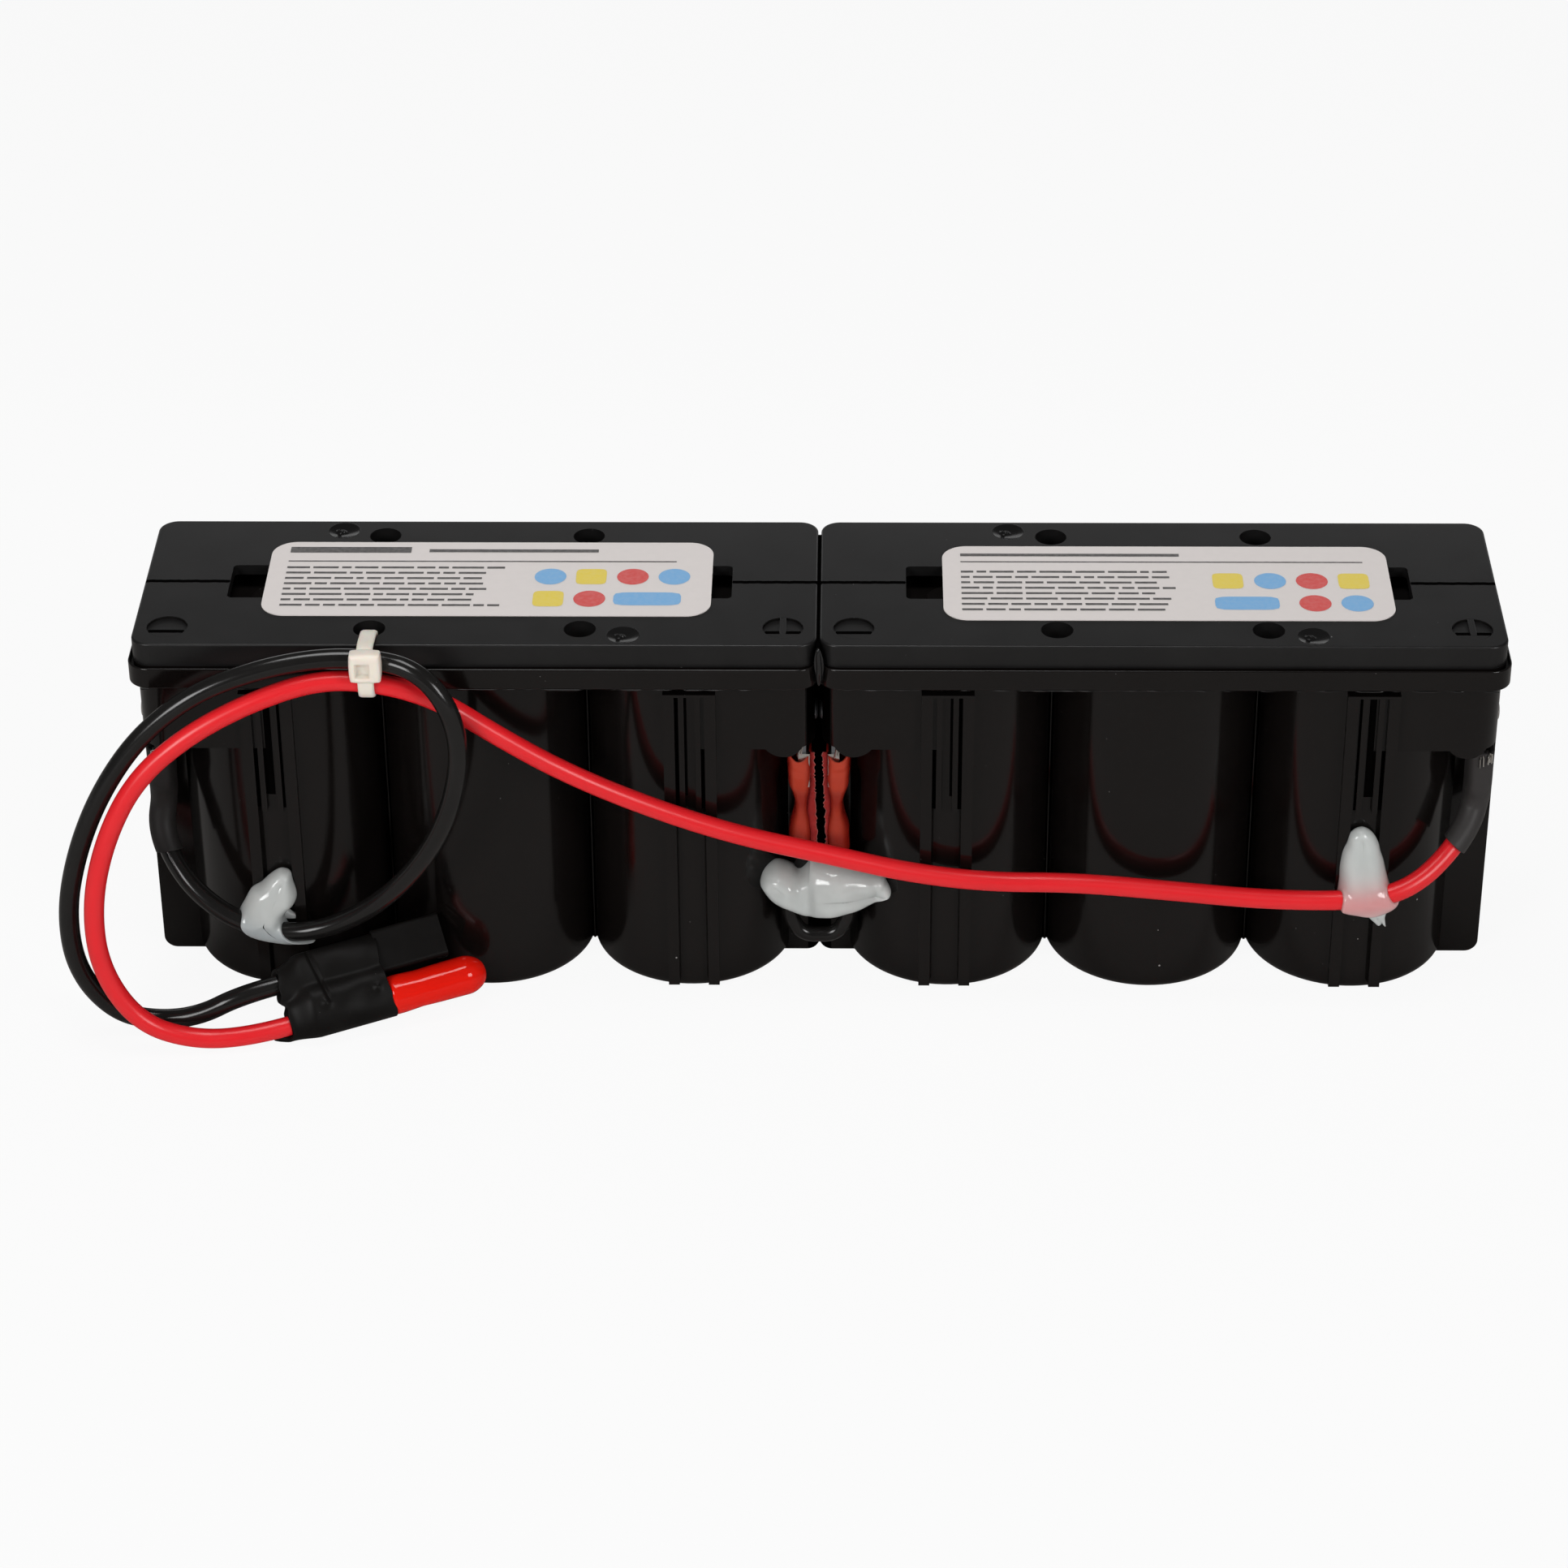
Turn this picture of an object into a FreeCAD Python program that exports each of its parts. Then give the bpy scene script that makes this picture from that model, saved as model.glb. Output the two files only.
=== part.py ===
import FreeCAD
import Part
import os
from math import cos, radians, sin, tan

V = FreeCAD.Vector
X_AXIS, Y_AXIS, Z_AXIS = V(1, 0, 0), V(0, 1, 0), V(0, 0, 1)

# Sizes are in millimetres. X runs along the pack, Y from front to back, Z up from the base.

# Case of one block
element_height = 50.4
headroom = 9.25
lip_height = 3.7
lip_corner = 3.6
lip_round = 0.25
end_margin = 4.4
outer_reach = 0.55
side_margin = 4.25
well_radius = 17.0
well_overlap = 0.1
well_wall = 1.4
well_floor = 1.6
bottom_round = 1.8
fin_front = 5.2
fin_reach = 0.65
fin_thickness = 2.0
fin_corner = 2.2

# Rails on the end cells, and the slit under the lip above them
rail_offset = 0.45
rail_span = 8.55
rail_width = 1.85
rail_proud = 1.1
rail_bottom = 1.4
rail_bar = 0.5
rib_width = 0.9
rib_proud = 0.9
rib_spacing = 2.65
rib_length = 22.6
slit_height = 2.9
slit_depth = 0.7

# Terminal shrouds at the front of both ends
shroud_inset = 0.6
shroud_height = 13.85
shroud_floor = 1.4
shroud_end_wall = 1.4
shroud_front_wall = 2.4
shroud_back_wall = 1.0
shroud_corner = 4.5
boss_drop = 1.5
boss_radius = 3.8
boss_from_end = 5.0

# Lid
lid_inset = 0.9
lid_gap = 0.5
lid_height = 4.05
lid_top = 1.8
lid_wall = 2.2
lid_round = 0.35
groove_rim = 0.25
groove_depth = 0.8
slot_length = 82.2
slot_width = 10.6
slot_corner = 0.8
hole_radius = 2.6
hole_wall = 1.6
hole_edge = 6.05
gate_radius = 2.7
gate_depth = 0.5
gate_from_hole = 7.05
gate_edge = 3.35
mark_radius = 3.3
mark_depth = 0.5
mark_from_end = 5.45
mark_edge = 5.65
seam_width = 0.3
seam_depth = 0.2

# Label
label_length = 73.0
label_width = 24.0
label_corner = 4.0
label_thickness = 0.15
left_label_shift = V(1.3, 0.8, 0)
right_label_shift = V(1.4, -0.2, 0)

# Inside the case
fit_gap = 0.15
loft_steps = 4
cover_thickness = 1.6
cover_margin = 0.8
cover_bridge = 16.0
vent_radius = 1.0
valve_radius = 4.0
valve_height = 1.4
element_gap = 0.4
mandrel_radius = 2.2
strap_post = 9.0
strap_width = 4.0
strap_thickness = 2.5
strap_foot = 3.0
strap_rise = 6.0

# Tab terminals and the push-on contacts
tab_gap = 0.1
tab_clear = 0.85
tab_width = 4.75
tab_thickness = 0.8
tab_tip_gap = 0.4
tab_rise = 6.0
tab_foot = 12.0
tab_bend = 1.2
rivet_radius = 1.7
rivet_rise = 3.5
rivet_proud = 0.5
window_gap = 0.3
contact_width = 6.1
contact_base = 0.45
contact_roll = 0.7
contact_gap = 2.6
contact_play = 0.02
contact_drop = 3.5
barrel_radius = 1.3

# Red insulating sleeves and the link wire
sleeve_wall = 0.55
sleeve_play = 0.15
sleeve_thickness = 4.6
sleeve_corner = 1.5
sleeve_neck_thickness = 3.3
sleeve_neck_width = 5.3
sleeve_flare = 4.3
sleeve_flare_width = 5.0
sleeve_foot_width = 4.6
sleeve_round = 1.9
sleeve_over = 0.3
sleeve_tail = 2.0
sleeved_contact = 6.4
sleeved_neck = 9.0
sleeved_barrel = 3.0
link_diameter = 2.6

# Leads, shrunk tubing and tie
lead_diameter = 3.3
bare_contact = 6.0
bare_barrel = 1.0
shrink_wall = 0.5
shrink_thickness = 4.4
shrink_corner = 1.6
shrink_over = 0.6
tie_width = 2.6
tie_thickness = 1.0
tie_gap = 0.1
tie_corner = 1.3
tie_head_width = 4.8
tie_head_height = 5.6
tie_head_depth = 3.2
tie_head_drop = 0.6
tie_window = 2.0

# Plug on the end of the leads
plug_length = 17.0
plug_stand = 14.2
plug_lift = 0.2
plug_run = 6.5
plug_spacing = 7.1
plug_tilt = 45.0
plug_end_radius = 2.6
plug_radius = 3.6
housing_length = 11.5
housing_width = 7.4
housing_thickness = 2.8
housing_wall = 0.6
housing_round = 0.7
pin_radius = 2.25
pin_length = 11.0
cap_wall = 0.95
cap_gap = 0.05
cap_start = 0.3
cap_length = 16.6

# Adhesive bead between the blocks
bead_radius = 0.9
bead_inset = 1.3
bead_margin = 0.4

# Worked out from the sizes above
cell_pitch = 2 * well_radius - well_overlap
cell_places = (-cell_pitch, 0.0, cell_pitch)
element_top = well_floor + element_height
block_pitch = 2 * (cell_pitch + well_radius + end_margin)
half_pitch = block_pitch / 2
lip_length = block_pitch + outer_reach
lip_width = 2 * (well_radius + side_margin)
lip_front = -lip_width / 2
lip_bottom = element_top + headroom
lip_top = lip_bottom + lip_height
total_height = lip_top + lid_height
rail_x = cell_pitch + rail_offset
rail_top = lip_bottom - slit_height
rib_bottom = rail_top - rib_length
seat_bottom = lip_top - cover_thickness - fit_gap
strap_level = element_top + strap_rise
shroud_bottom = lip_bottom - shroud_height
shroud_end = half_pitch - shroud_inset
lid_length = block_pitch - lid_gap
lid_width = lip_width - 2 * lid_inset
hole_x = cell_pitch / 2
hole_y = lip_width / 2 - hole_edge
hole_places = [(sx * hole_x, sy * hole_y) for sx in (-1, 1) for sy in (-1, 1)]
gate_x = hole_x + gate_from_hole
gate_y = lid_width / 2 - gate_edge
mark_x = lid_length / 2 - mark_from_end
mark_y = lid_width / 2 - mark_edge
tab_level = element_top + tab_rise
tab_x = shroud_end - shroud_end_wall - tab_gap - tab_thickness / 2
tab_y = -(fin_front + contact_width / 2 + sleeve_wall + sleeve_play + tab_clear)
rivet_level = shroud_bottom + rivet_rise
contact_top = shroud_bottom - contact_drop
sleeve_contact_bottom = contact_top - sleeved_contact
sleeve_barrel_top = sleeve_contact_bottom - sleeved_neck
link_start = sleeve_barrel_top - sleeved_barrel
sleeve_top = contact_top + sleeve_over
sleeve_bottom = link_start - sleeve_tail
lead_contact_bottom = contact_top - bare_contact
lead_start = lead_contact_bottom - bare_barrel
lead_radius = lead_diameter / 2
shrink_top = contact_top + shrink_over
tab_end = lead_contact_bottom + tab_tip_gap
tie_head_level = total_height - tie_head_drop
outward = V(outer_reach, 0, 0)
bead_y = lip_front + bead_inset

# Routes of the leads, from the contact to the plug. Along is a share of the block pitch, and up a share
# of the height. Out is the gap in front of the rails or the lip, and lift the gap above the floor.
rail_front = -well_radius - rail_proud
plug_axis = V(0.935, 0.345, 0.09).normalize()
red_end = V(-0.791 * block_pitch, rail_front - plug_stand, plug_end_radius + plug_lift)


def from_tab(side, x, y, z):
    # Offset from the start of a lead, in lead diameters.
    return V(side * (half_pitch + tab_x + outer_reach), tab_y, lead_start) + V(x, y, z) * lead_diameter


def from_link(x, y, z):
    # Offset from the start of the link wire, in its diameters.
    return V(-half_pitch + tab_x, tab_y, link_start) + V(x, y, z) * link_diameter


def by_rail(along, out, up):
    return V(along * block_pitch, rail_front - lead_radius - out, up * total_height)


def by_lip(along, out, up):
    return V(along * block_pitch, lip_front - lead_radius - out, up * total_height)


def by_floor(along, out, lift):
    return V(along * block_pitch, lip_front - lead_radius - out, lead_radius + lift)


red_route = [
    from_tab(1, 0, 0, 0),
    from_tab(1, 0, 0, -0.97),
    from_tab(1, -0.42, -0.73, -2.06),
    from_tab(1, -1.45, -1.64, -3.27),
    by_rail(0.8933, -0.85, 0.332),
    by_rail(0.8400, 0.75, 0.304),
    by_rail(0.7595, 0.55, 0.293),
    by_rail(0.6510, 0.65, 0.300),
    by_rail(0.5154, 0.45, 0.322),
    by_rail(0.3797, 0.45, 0.3435),
    by_rail(0.2532, 0.45, 0.3435),
    by_rail(0.1356, 0.45, 0.3695),
    by_rail(0.0091, 0.45, 0.423),
    by_rail(-0.1265, 0.45, 0.478),
    by_rail(-0.2622, 0.45, 0.562),
    by_rail(-0.3797, 1.25, 0.664),
    by_rail(-0.4747, 2.45, 0.777),
    by_lip(-0.5470, 0.15, 0.8725),
    by_lip(-0.6284, 0.30, 0.922),
    by_lip(-0.7188, 1.00, 0.938),
    by_lip(-0.8138, 3.40, 0.9015),
    by_lip(-0.9086, 5.90, 0.832),
    by_lip(-0.9892, 7.70, 0.7245),
    by_lip(-1.0398, 9.70, 0.574),
    by_lip(-1.0669, 11.10, 0.400),
    by_lip(-1.0615, 12.10, 0.226),
    by_floor(-1.0109, 12.70, 3.95),
    by_floor(-0.9312, 12.30, 0.25),
    red_end - plug_axis * plug_run,
    red_end,
]
black_route = [
    from_tab(-1, 0, 0, 0),
    from_tab(-1, 0, 0, -0.97),
    from_tab(-1, -0.24, -0.61, -2.42),
    from_tab(-1, 0.36, -1.52, -3.82),
    from_tab(-1, 1.58, -2.52, -5.15),
    by_rail(-0.8825, 0.35, 0.232),
    by_rail(-0.8191, 0.65, 0.193),
    by_rail(-0.7522, 0.85, 0.200),
    by_rail(-0.6835, 1.85, 0.261),
    by_rail(-0.6184, 3.45, 0.362),
    by_rail(-0.5660, 5.05, 0.493),
    by_lip(-0.5317, 3.30, 0.638),
    by_lip(-0.5190, 4.10, 0.783),
    by_lip(-0.5353, 4.30, 0.904),
    by_lip(-0.5787, 2.70, 0.980),
    by_lip(-0.6465, 0.00, 0.9855),
    by_lip(-0.7233, 0.50, 0.990),
    by_lip(-0.8093, 2.30, 0.974),
    by_lip(-0.8997, 4.00, 0.925),
    by_lip(-0.9801, 5.40, 0.826),
    by_lip(-1.0416, 6.70, 0.687),
    by_lip(-1.0850, 7.70, 0.5275),
    by_lip(-1.1103, 8.30, 0.3535),
    by_lip(-1.1031, 8.30, 0.183),
    by_floor(-1.0524, 7.10, 2.00),
    by_floor(-0.9870, 7.00, 0.45),
    by_floor(-0.9250, 7.60, 1.95),
]
link_route = [
    from_link(0, 0, 0),
    from_link(0, 0, -1.62),
    from_link(-0.92, -0.27, -3.90),
    from_link(-1.00, -0.42, -5.62),
    from_link(-0.12, -0.50, -7.10),
]
link_route += [V(-p.x, p.y, p.z) for p in reversed(link_route)]

# Dabs of glue: lobes as an offset from a point of a route and half sizes, all in lead diameters
left_dab = [
    ((-0.12, 0.18, 0.52), (1.45, 0.88, 1.39)),
    ((0.24, 0.45, 2.27), (0.97, 0.67, 1.21)),
    ((1.52, 0.12, -0.21), (0.91, 0.55, 0.45)),
]
right_dab = [
    ((-0.64, 0.18, 0.06), (1.33, 0.88, 1.39)),
    ((-0.97, 0.45, 2.12), (0.88, 0.67, 1.52)),
    ((0.03, 0.09, -1.27), (0.39, 0.36, 0.67)),
]
middle_dab = [
    ((-0.33, -0.70, 1.09), (1.36, 1.33, 1.45)),
    ((2.15, -0.70, 0.91), (2.36, 1.39, 1.48)),
    ((4.21, -0.82, 0.85), (1.03, 0.85, 0.79)),
]


def box(x0, x1, y0, y1, z0, z1):
    return Part.makeBox(x1 - x0, y1 - y0, z1 - z0, V(x0, y0, z0))


def post(radius, x, y, z0, z1):
    return Part.makeCylinder(radius, z1 - z0, V(x, y, z0))


def fuse(shapes):
    return shapes[0].multiFuse(shapes[1:]).removeSplitter()


def mirrored(shape):
    return shape.mirror(V(0, 0, 0), X_AXIS)


def moved(shape, offset):
    copy = shape.copy()
    copy.translate(offset)
    return copy


def outline(length, width, radius, centre, u=X_AXIS, v=Y_AXIS):
    # Rounded rectangle: four corner arcs joined by straight sides, in the plane of u and v.
    a, b = length / 2 - radius, width / 2 - radius
    arcs = []
    for cx, cy, start in ((a, b, 0), (-a, b, 90), (-a, -b, 180), (a, -b, 270)):
        turn = [radians(start + step) for step in (0, 45, 90)]
        arcs.append([centre + u * (cx + radius * cos(t)) + v * (cy + radius * sin(t)) for t in turn])
    edges = []
    for arc, following in zip(arcs, arcs[1:] + arcs[:1]):
        edges.append(Part.Arc(*arc).toShape())
        edges.append(Part.LineSegment(arc[2], following[0]).toShape())
    return Part.Wire(edges)


def slab(length, width, radius, z0, z1, x=0.0, y=0.0):
    return Part.Face(outline(length, width, radius, V(x, y, z0))).extrude(V(0, 0, z1 - z0))


def flat_edges(shape, level):
    at_level = []
    for edge in shape.Edges:
        span = edge.BoundBox
        if abs(span.ZMin - level) < 1e-4 and abs(span.ZMax - level) < 1e-4:
            at_level.append(edge)
    return at_level


def eased(stations):
    # Stations (place, sizes...) with more between them, whose sizes follow the ease t * t * (3 - 2 * t).
    dense = []
    for first, last in zip(stations, stations[1:]):
        count = loft_steps if first[1:] != last[1:] else 1
        for step in range(count):
            t = step / count
            shares = [t] + [t * t * (3 - 2 * t)] * (len(first) - 1)
            dense.append([a + (b - a) * share for a, b, share in zip(first, last, shares)])
    return dense + [list(stations[-1])]


def loft(sections, x, y, shrink=0.0):
    # Skin over rounded rectangles (level, size in X, size in Y, corner), each made smaller by the wall.
    wires = []
    for level, size_x, size_y, corner in eased(sections):
        wires.append(
            outline(size_x - 2 * shrink, size_y - 2 * shrink, corner - shrink * 0.8, V(x, y, level))
        )
    return Part.makeLoft(wires, True, True)


def path(points):
    # Straight runs joined by tangent arcs, each arc as large as its two runs allow.
    edges, radii = [], []
    start = points[0]
    for before, corner, after in zip(points, points[1:], points[2:]):
        into, out = (corner - before), (after - corner)
        reach = 0.45 * min(into.Length, out.Length)
        into.normalize()
        out.normalize()
        half_turn = into.getAngle(out) / 2
        radius = reach / tan(half_turn)
        first, last = corner - into * reach, corner + out * reach
        inward = (out - into).normalize()
        middle = corner + inward * (radius / cos(half_turn) - radius)
        edges.append(Part.LineSegment(start, first).toShape())
        edges.append(Part.Arc(first, middle, last).toShape())
        radii.append(radius)
        start = last
    edges.append(Part.LineSegment(start, points[-1]).toShape())
    return edges, radii


def tube(edges, radius):
    start = edges[0].valueAt(edges[0].FirstParameter)
    heading = edges[0].tangentAt(edges[0].FirstParameter)
    ring = Part.Wire(Part.Circle(start, heading, radius).toShape())
    return Part.Wire(edges).makePipeShell([ring], True, False)


def cord(name, route, diameter):
    edges, radii = path(route)
    shape = tube(edges, diameter / 2)
    length = sum(e.Length for e in edges)
    section = 3.14159265 * diameter * diameter / 4
    print(name, "length", round(length, 1), "tightest radius", round(min(radii), 1),
          "volume over section times length", round(shape.Volume / (section * length), 4))
    return shape


def end_profile(x0, x1, y0, y1, corner, z0, z1):
    # Plan of a shroud: a rectangle with its front outer corner rounded, drawn up from z0 to z1.
    turn = radians(45)
    middle = V(x1 - corner + corner * sin(turn), y0 + corner - corner * cos(turn), z0)
    edges = [
        Part.LineSegment(V(x0, y0, z0), V(x1 - corner, y0, z0)).toShape(),
        Part.Arc(V(x1 - corner, y0, z0), middle, V(x1, y0 + corner, z0)).toShape(),
        Part.LineSegment(V(x1, y0 + corner, z0), V(x1, y1, z0)).toShape(),
        Part.LineSegment(V(x1, y1, z0), V(x0, y1, z0)).toShape(),
        Part.LineSegment(V(x0, y1, z0), V(x0, y0, z0)).toShape(),
    ]
    return Part.Face(Part.Wire(edges)).extrude(V(0, 0, z1 - z0))


def shroud():
    # Box round the tab terminal, tangent to the end well, with a shallow arched boss below it.
    back = -fin_front + fin_thickness
    x0 = cell_pitch
    body = end_profile(x0, shroud_end, -well_radius, back, shroud_corner, shroud_bottom, lip_top)
    skirt = end_profile(
        x0, shroud_end, -well_radius, back, shroud_corner, shroud_bottom - boss_drop, lip_bottom
    )
    arch_centre = V(shroud_end - boss_from_end, -well_radius, shroud_bottom - boss_drop + boss_radius)
    arch = Part.makeCylinder(boss_radius, well_radius, arch_centre, Y_AXIS)
    return fuse([body, skirt.common(arch)])


def fin(y0):
    # Flat end fin with its outer bottom corner rounded.
    turn = radians(45)
    x0, x1, r = cell_pitch, half_pitch, fin_corner
    middle = V(x1 - r + r * sin(turn), y0, r - r * cos(turn))
    edges = [
        Part.LineSegment(V(x0, y0, 0), V(x1 - r, y0, 0)).toShape(),
        Part.Arc(V(x1 - r, y0, 0), middle, V(x1, y0, r)).toShape(),
        Part.LineSegment(V(x1, y0, r), V(x1, y0, lip_top - lip_height / 2)).toShape(),
        Part.LineSegment(V(x1, y0, lip_top - lip_height / 2), V(x0, y0, lip_top - lip_height / 2)).toShape(),
        Part.LineSegment(V(x0, y0, lip_top - lip_height / 2), V(x0, y0, 0)).toShape(),
    ]
    return Part.Face(Part.Wire(edges)).extrude(V(0, fin_thickness, 0))


def rails(x):
    # Two rails with a bar across their top, and two thin ribs in the upper half of the channel.
    front, root = -well_radius - rail_proud, -well_radius + well_wall
    inner = rail_span / 2 - rail_width
    pieces = [box(x - rail_span / 2, x + rail_span / 2, front, root, rail_top - rail_bar, rail_top)]
    for side in (-1, 1):
        low, high = sorted((x + side * inner, x + side * rail_span / 2))
        pieces.append(box(low, high, front, root, rail_bottom, rail_top))
        centre = x + side * rib_spacing / 2
        pieces.append(
            box(centre - rib_width / 2, centre + rib_width / 2, -well_radius - rib_proud, root,
                rib_bottom, rail_top)
        )
    return pieces


def seat(grow, z0, z1):
    # Plan of the sealing plate: three discs over the wells, a bridge, and a tongue over each shroud.
    radius = well_radius - well_wall + cover_margin + grow
    half_bridge = cover_bridge / 2 + grow
    pieces = [post(radius, x, 0, z0, z1) for x in cell_places]
    pieces.append(box(-cell_pitch, cell_pitch, -half_bridge, half_bridge, z0, z1))
    reach = shroud_end - shroud_end_wall + grow
    front, back = -well_radius + shroud_front_wall - grow, -fin_front - shroud_back_wall + grow
    tongue = box(cell_pitch, reach, front, back, z0, z1)
    return fuse(pieces + [moved(tongue, outward), mirrored(tongue)])


def shroud_pocket():
    # Room for the tab inside a shroud, with its slot, its window and its way in from the well.
    inner_end = shroud_end - shroud_end_wall
    front, back = -well_radius + shroud_front_wall, -fin_front - shroud_back_wall
    room = box(cell_pitch, inner_end, front, back, shroud_bottom + shroud_floor, seat_bottom)
    room = room.cut(post(well_radius, cell_pitch, 0, 0, lip_top))
    half_slot = tab_width / 2 + fit_gap
    way_in = box(cell_pitch, inner_end, tab_y - half_slot, tab_y + half_slot, tab_level - fit_gap, seat_bottom)
    slot = box(tab_x - tab_thickness / 2 - fit_gap, inner_end, tab_y - half_slot, tab_y + half_slot,
               shroud_bottom - boss_drop, shroud_bottom + shroud_floor)
    window = Part.makeCylinder(
        rivet_radius + window_gap, shroud_end_wall, V(inner_end, tab_y, rivet_level), X_AXIS
    )
    return fuse([room, way_in, slot, window])


def flash_groove():
    # Narrow groove in the lip's top round the foot of the lid.
    low = lip_top - groove_depth
    outside = slab(lip_length - 2 * groove_rim, lip_width - 2 * groove_rim, lip_corner - groove_rim,
                   low, lip_top, outer_reach / 2)
    return outside.cut(slab(lid_length, lid_width, lip_corner - lid_inset / 2, low, lip_top))


def container():
    # Block whose outer end is at +X; the lips and fins meet those of the other block at -X.
    wells = []
    for x in cell_places:
        well = post(well_radius, x, 0, 0, lip_bottom + lip_height / 2)
        wells.append(well.makeFillet(bottom_round, flat_edges(well, 0)))
    lip = slab(lip_length, lip_width, lip_corner, lip_bottom, lip_top, outer_reach / 2)
    lip = lip.makeFillet(lip_round, flat_edges(lip, lip_bottom) + flat_edges(lip, lip_top))
    fins = [fin(-fin_front), fin(fin_front - fin_thickness)]
    front_rails = rails(-rail_x) + rails(rail_x)
    rear_rails = [piece.mirror(V(0, 0, 0), Y_AXIS) for piece in front_rails]
    ends = [moved(shroud(), outward), mirrored(shroud())]
    ends += [moved(piece, outward + V(fin_reach, 0, 0)) for piece in fins] + [mirrored(piece) for piece in fins]
    case = fuse(wells + [lip] + ends + front_rails + rear_rails)

    cuts = [post(well_radius - well_wall, x, 0, well_floor, lip_top) for x in cell_places]
    cuts.append(seat(0.0, seat_bottom, lip_top))
    cuts += [moved(shroud_pocket(), outward), mirrored(shroud_pocket()), flash_groove()]
    cuts += [post(hole_radius, x, y, lip_bottom, lip_top) for x, y in hole_places]
    for x in (-cell_pitch / 2, cell_pitch / 2):
        half = strap_width / 2 + fit_gap
        cuts.append(box(x - well_wall * 2, x + well_wall * 2, -half, half, strap_level - fit_gap, seat_bottom))
    for x in (-rail_x, rail_x):
        slit = box(x - rail_span / 2, x + rail_span / 2, -well_radius - rail_proud,
                   -well_radius + slit_depth, rail_top, lip_bottom)
        cuts += [slit, slit.mirror(V(0, 0, 0), Y_AXIS)]
    for cut in cuts:
        case = case.cut(cut)
    return case


def lid():
    corner = lip_corner - lid_inset / 2
    shell = slab(lid_length, lid_width, corner, lip_top, total_height)
    shell = shell.makeFillet(lid_round, flat_edges(shell, total_height))
    inside = slab(lid_length - 2 * lid_wall, lid_width - 2 * lid_wall, corner - lid_wall,
                  lip_top, total_height - lid_top)
    for x, y in hole_places:
        inside = inside.cut(post(hole_radius + hole_wall, x, y, lip_top, total_height))
    shell = shell.cut(inside)
    cuts = [slab(slot_length, slot_width, slot_corner, lip_top, total_height)]
    cuts += [post(hole_radius, x, y, lip_top, total_height) for x, y in hole_places]
    for x, y in ((-gate_x, gate_y), (gate_x, -gate_y)):
        ball = (gate_radius ** 2 + gate_depth ** 2) / (2 * gate_depth)
        cuts.append(Part.makeSphere(ball, V(x, y, total_height - gate_depth + ball)))
    for side in (-1, 1):
        cuts.append(post(mark_radius, side * mark_x, -mark_y, total_height - mark_depth, total_height))
        seam = box(slot_length / 2, lid_length / 2, -seam_width / 2, seam_width / 2,
                   total_height - seam_depth, total_height)
        cuts.append(seam if side > 0 else mirrored(seam))
    for cut in cuts:
        shell = shell.cut(cut)
    return shell


def inner_cover():
    # The tongues stay clear of the terminal strips, which lie below the plate.
    plate = seat(-fit_gap, seat_bottom, seat_bottom + cover_thickness)
    for x in cell_places:
        plate = plate.cut(post(vent_radius, x, 0, seat_bottom, lip_top))
    return plate


def relief_valve(x):
    bottom = seat_bottom + cover_thickness
    cap = post(valve_radius, x, 0, bottom, bottom + valve_height)
    return cap.makeFillet(valve_height / 3, flat_edges(cap, bottom + valve_height))


def cell(x):
    radius = well_radius - well_wall - element_gap
    roll = post(radius, x, 0, well_floor, element_top)
    return roll.cut(post(mandrel_radius, x, 0, well_floor, element_top))


def strap(x):
    # Bar through the notch between two wells, with a foot down to the element on each side.
    reach = cell_pitch / 2 - strap_post + strap_foot / 2
    half = strap_width / 2
    top_of_cell = element_top
    pieces = [box(x - reach, x + reach, -half, half, strap_level, strap_level + strap_thickness)]
    for side in (-1, 1):
        low, high = sorted((x + side * reach, x + side * (reach - strap_foot)))
        pieces.append(box(low, high, -half, half, top_of_cell, strap_level + strap_thickness))
    return fuse(pieces)


def terminal():
    # Bent strip: a foot on the end cell, a run through the wall, then the tab down through the slot.
    outer, inner = tab_x + tab_thickness / 2, tab_x - tab_thickness / 2
    top = tab_level + tab_thickness
    foot = tab_x - tab_foot
    foot_bottom = element_top
    corners = [
        (outer, tab_end), (outer, top), (foot, top), (foot, foot_bottom),
        (foot + tab_thickness, foot_bottom), (foot + tab_thickness, tab_level),
        (inner, tab_level), (inner, tab_end), (outer, tab_end),
    ]
    y0 = tab_y - tab_width / 2
    strip = Part.Face(Part.makePolygon([V(x, y0, z) for x, z in corners])).extrude(V(0, tab_width, 0))
    bends = []
    for edge in strip.Edges:
        centre = edge.BoundBox.Center
        if abs(centre.z - top) < 1e-4 and abs(centre.y - tab_y) < 1e-4 and edge.BoundBox.XLength < 1e-4:
            bends.append(edge)
    strip = strip.makeFillet(tab_bend, bends)
    tip = []
    for edge in strip.Edges:
        centre = edge.BoundBox.Center
        if abs(centre.z - tab_end) < 1e-4 and edge.BoundBox.YLength < 1e-4:
            tip.append(edge)
    strip = strip.makeChamfer(tab_thickness, tip)
    reach = shroud_end + rivet_proud - tab_x
    rivet = Part.makeCylinder(rivet_radius, reach, V(tab_x, tab_y, rivet_level), X_AXIS)
    rim = [e for e in rivet.Edges if e.BoundBox.XLength < 1e-4 and e.BoundBox.XMin > tab_x]
    return fuse([strip, rivet.makeFillet(rivet_proud, rim)])


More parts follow.
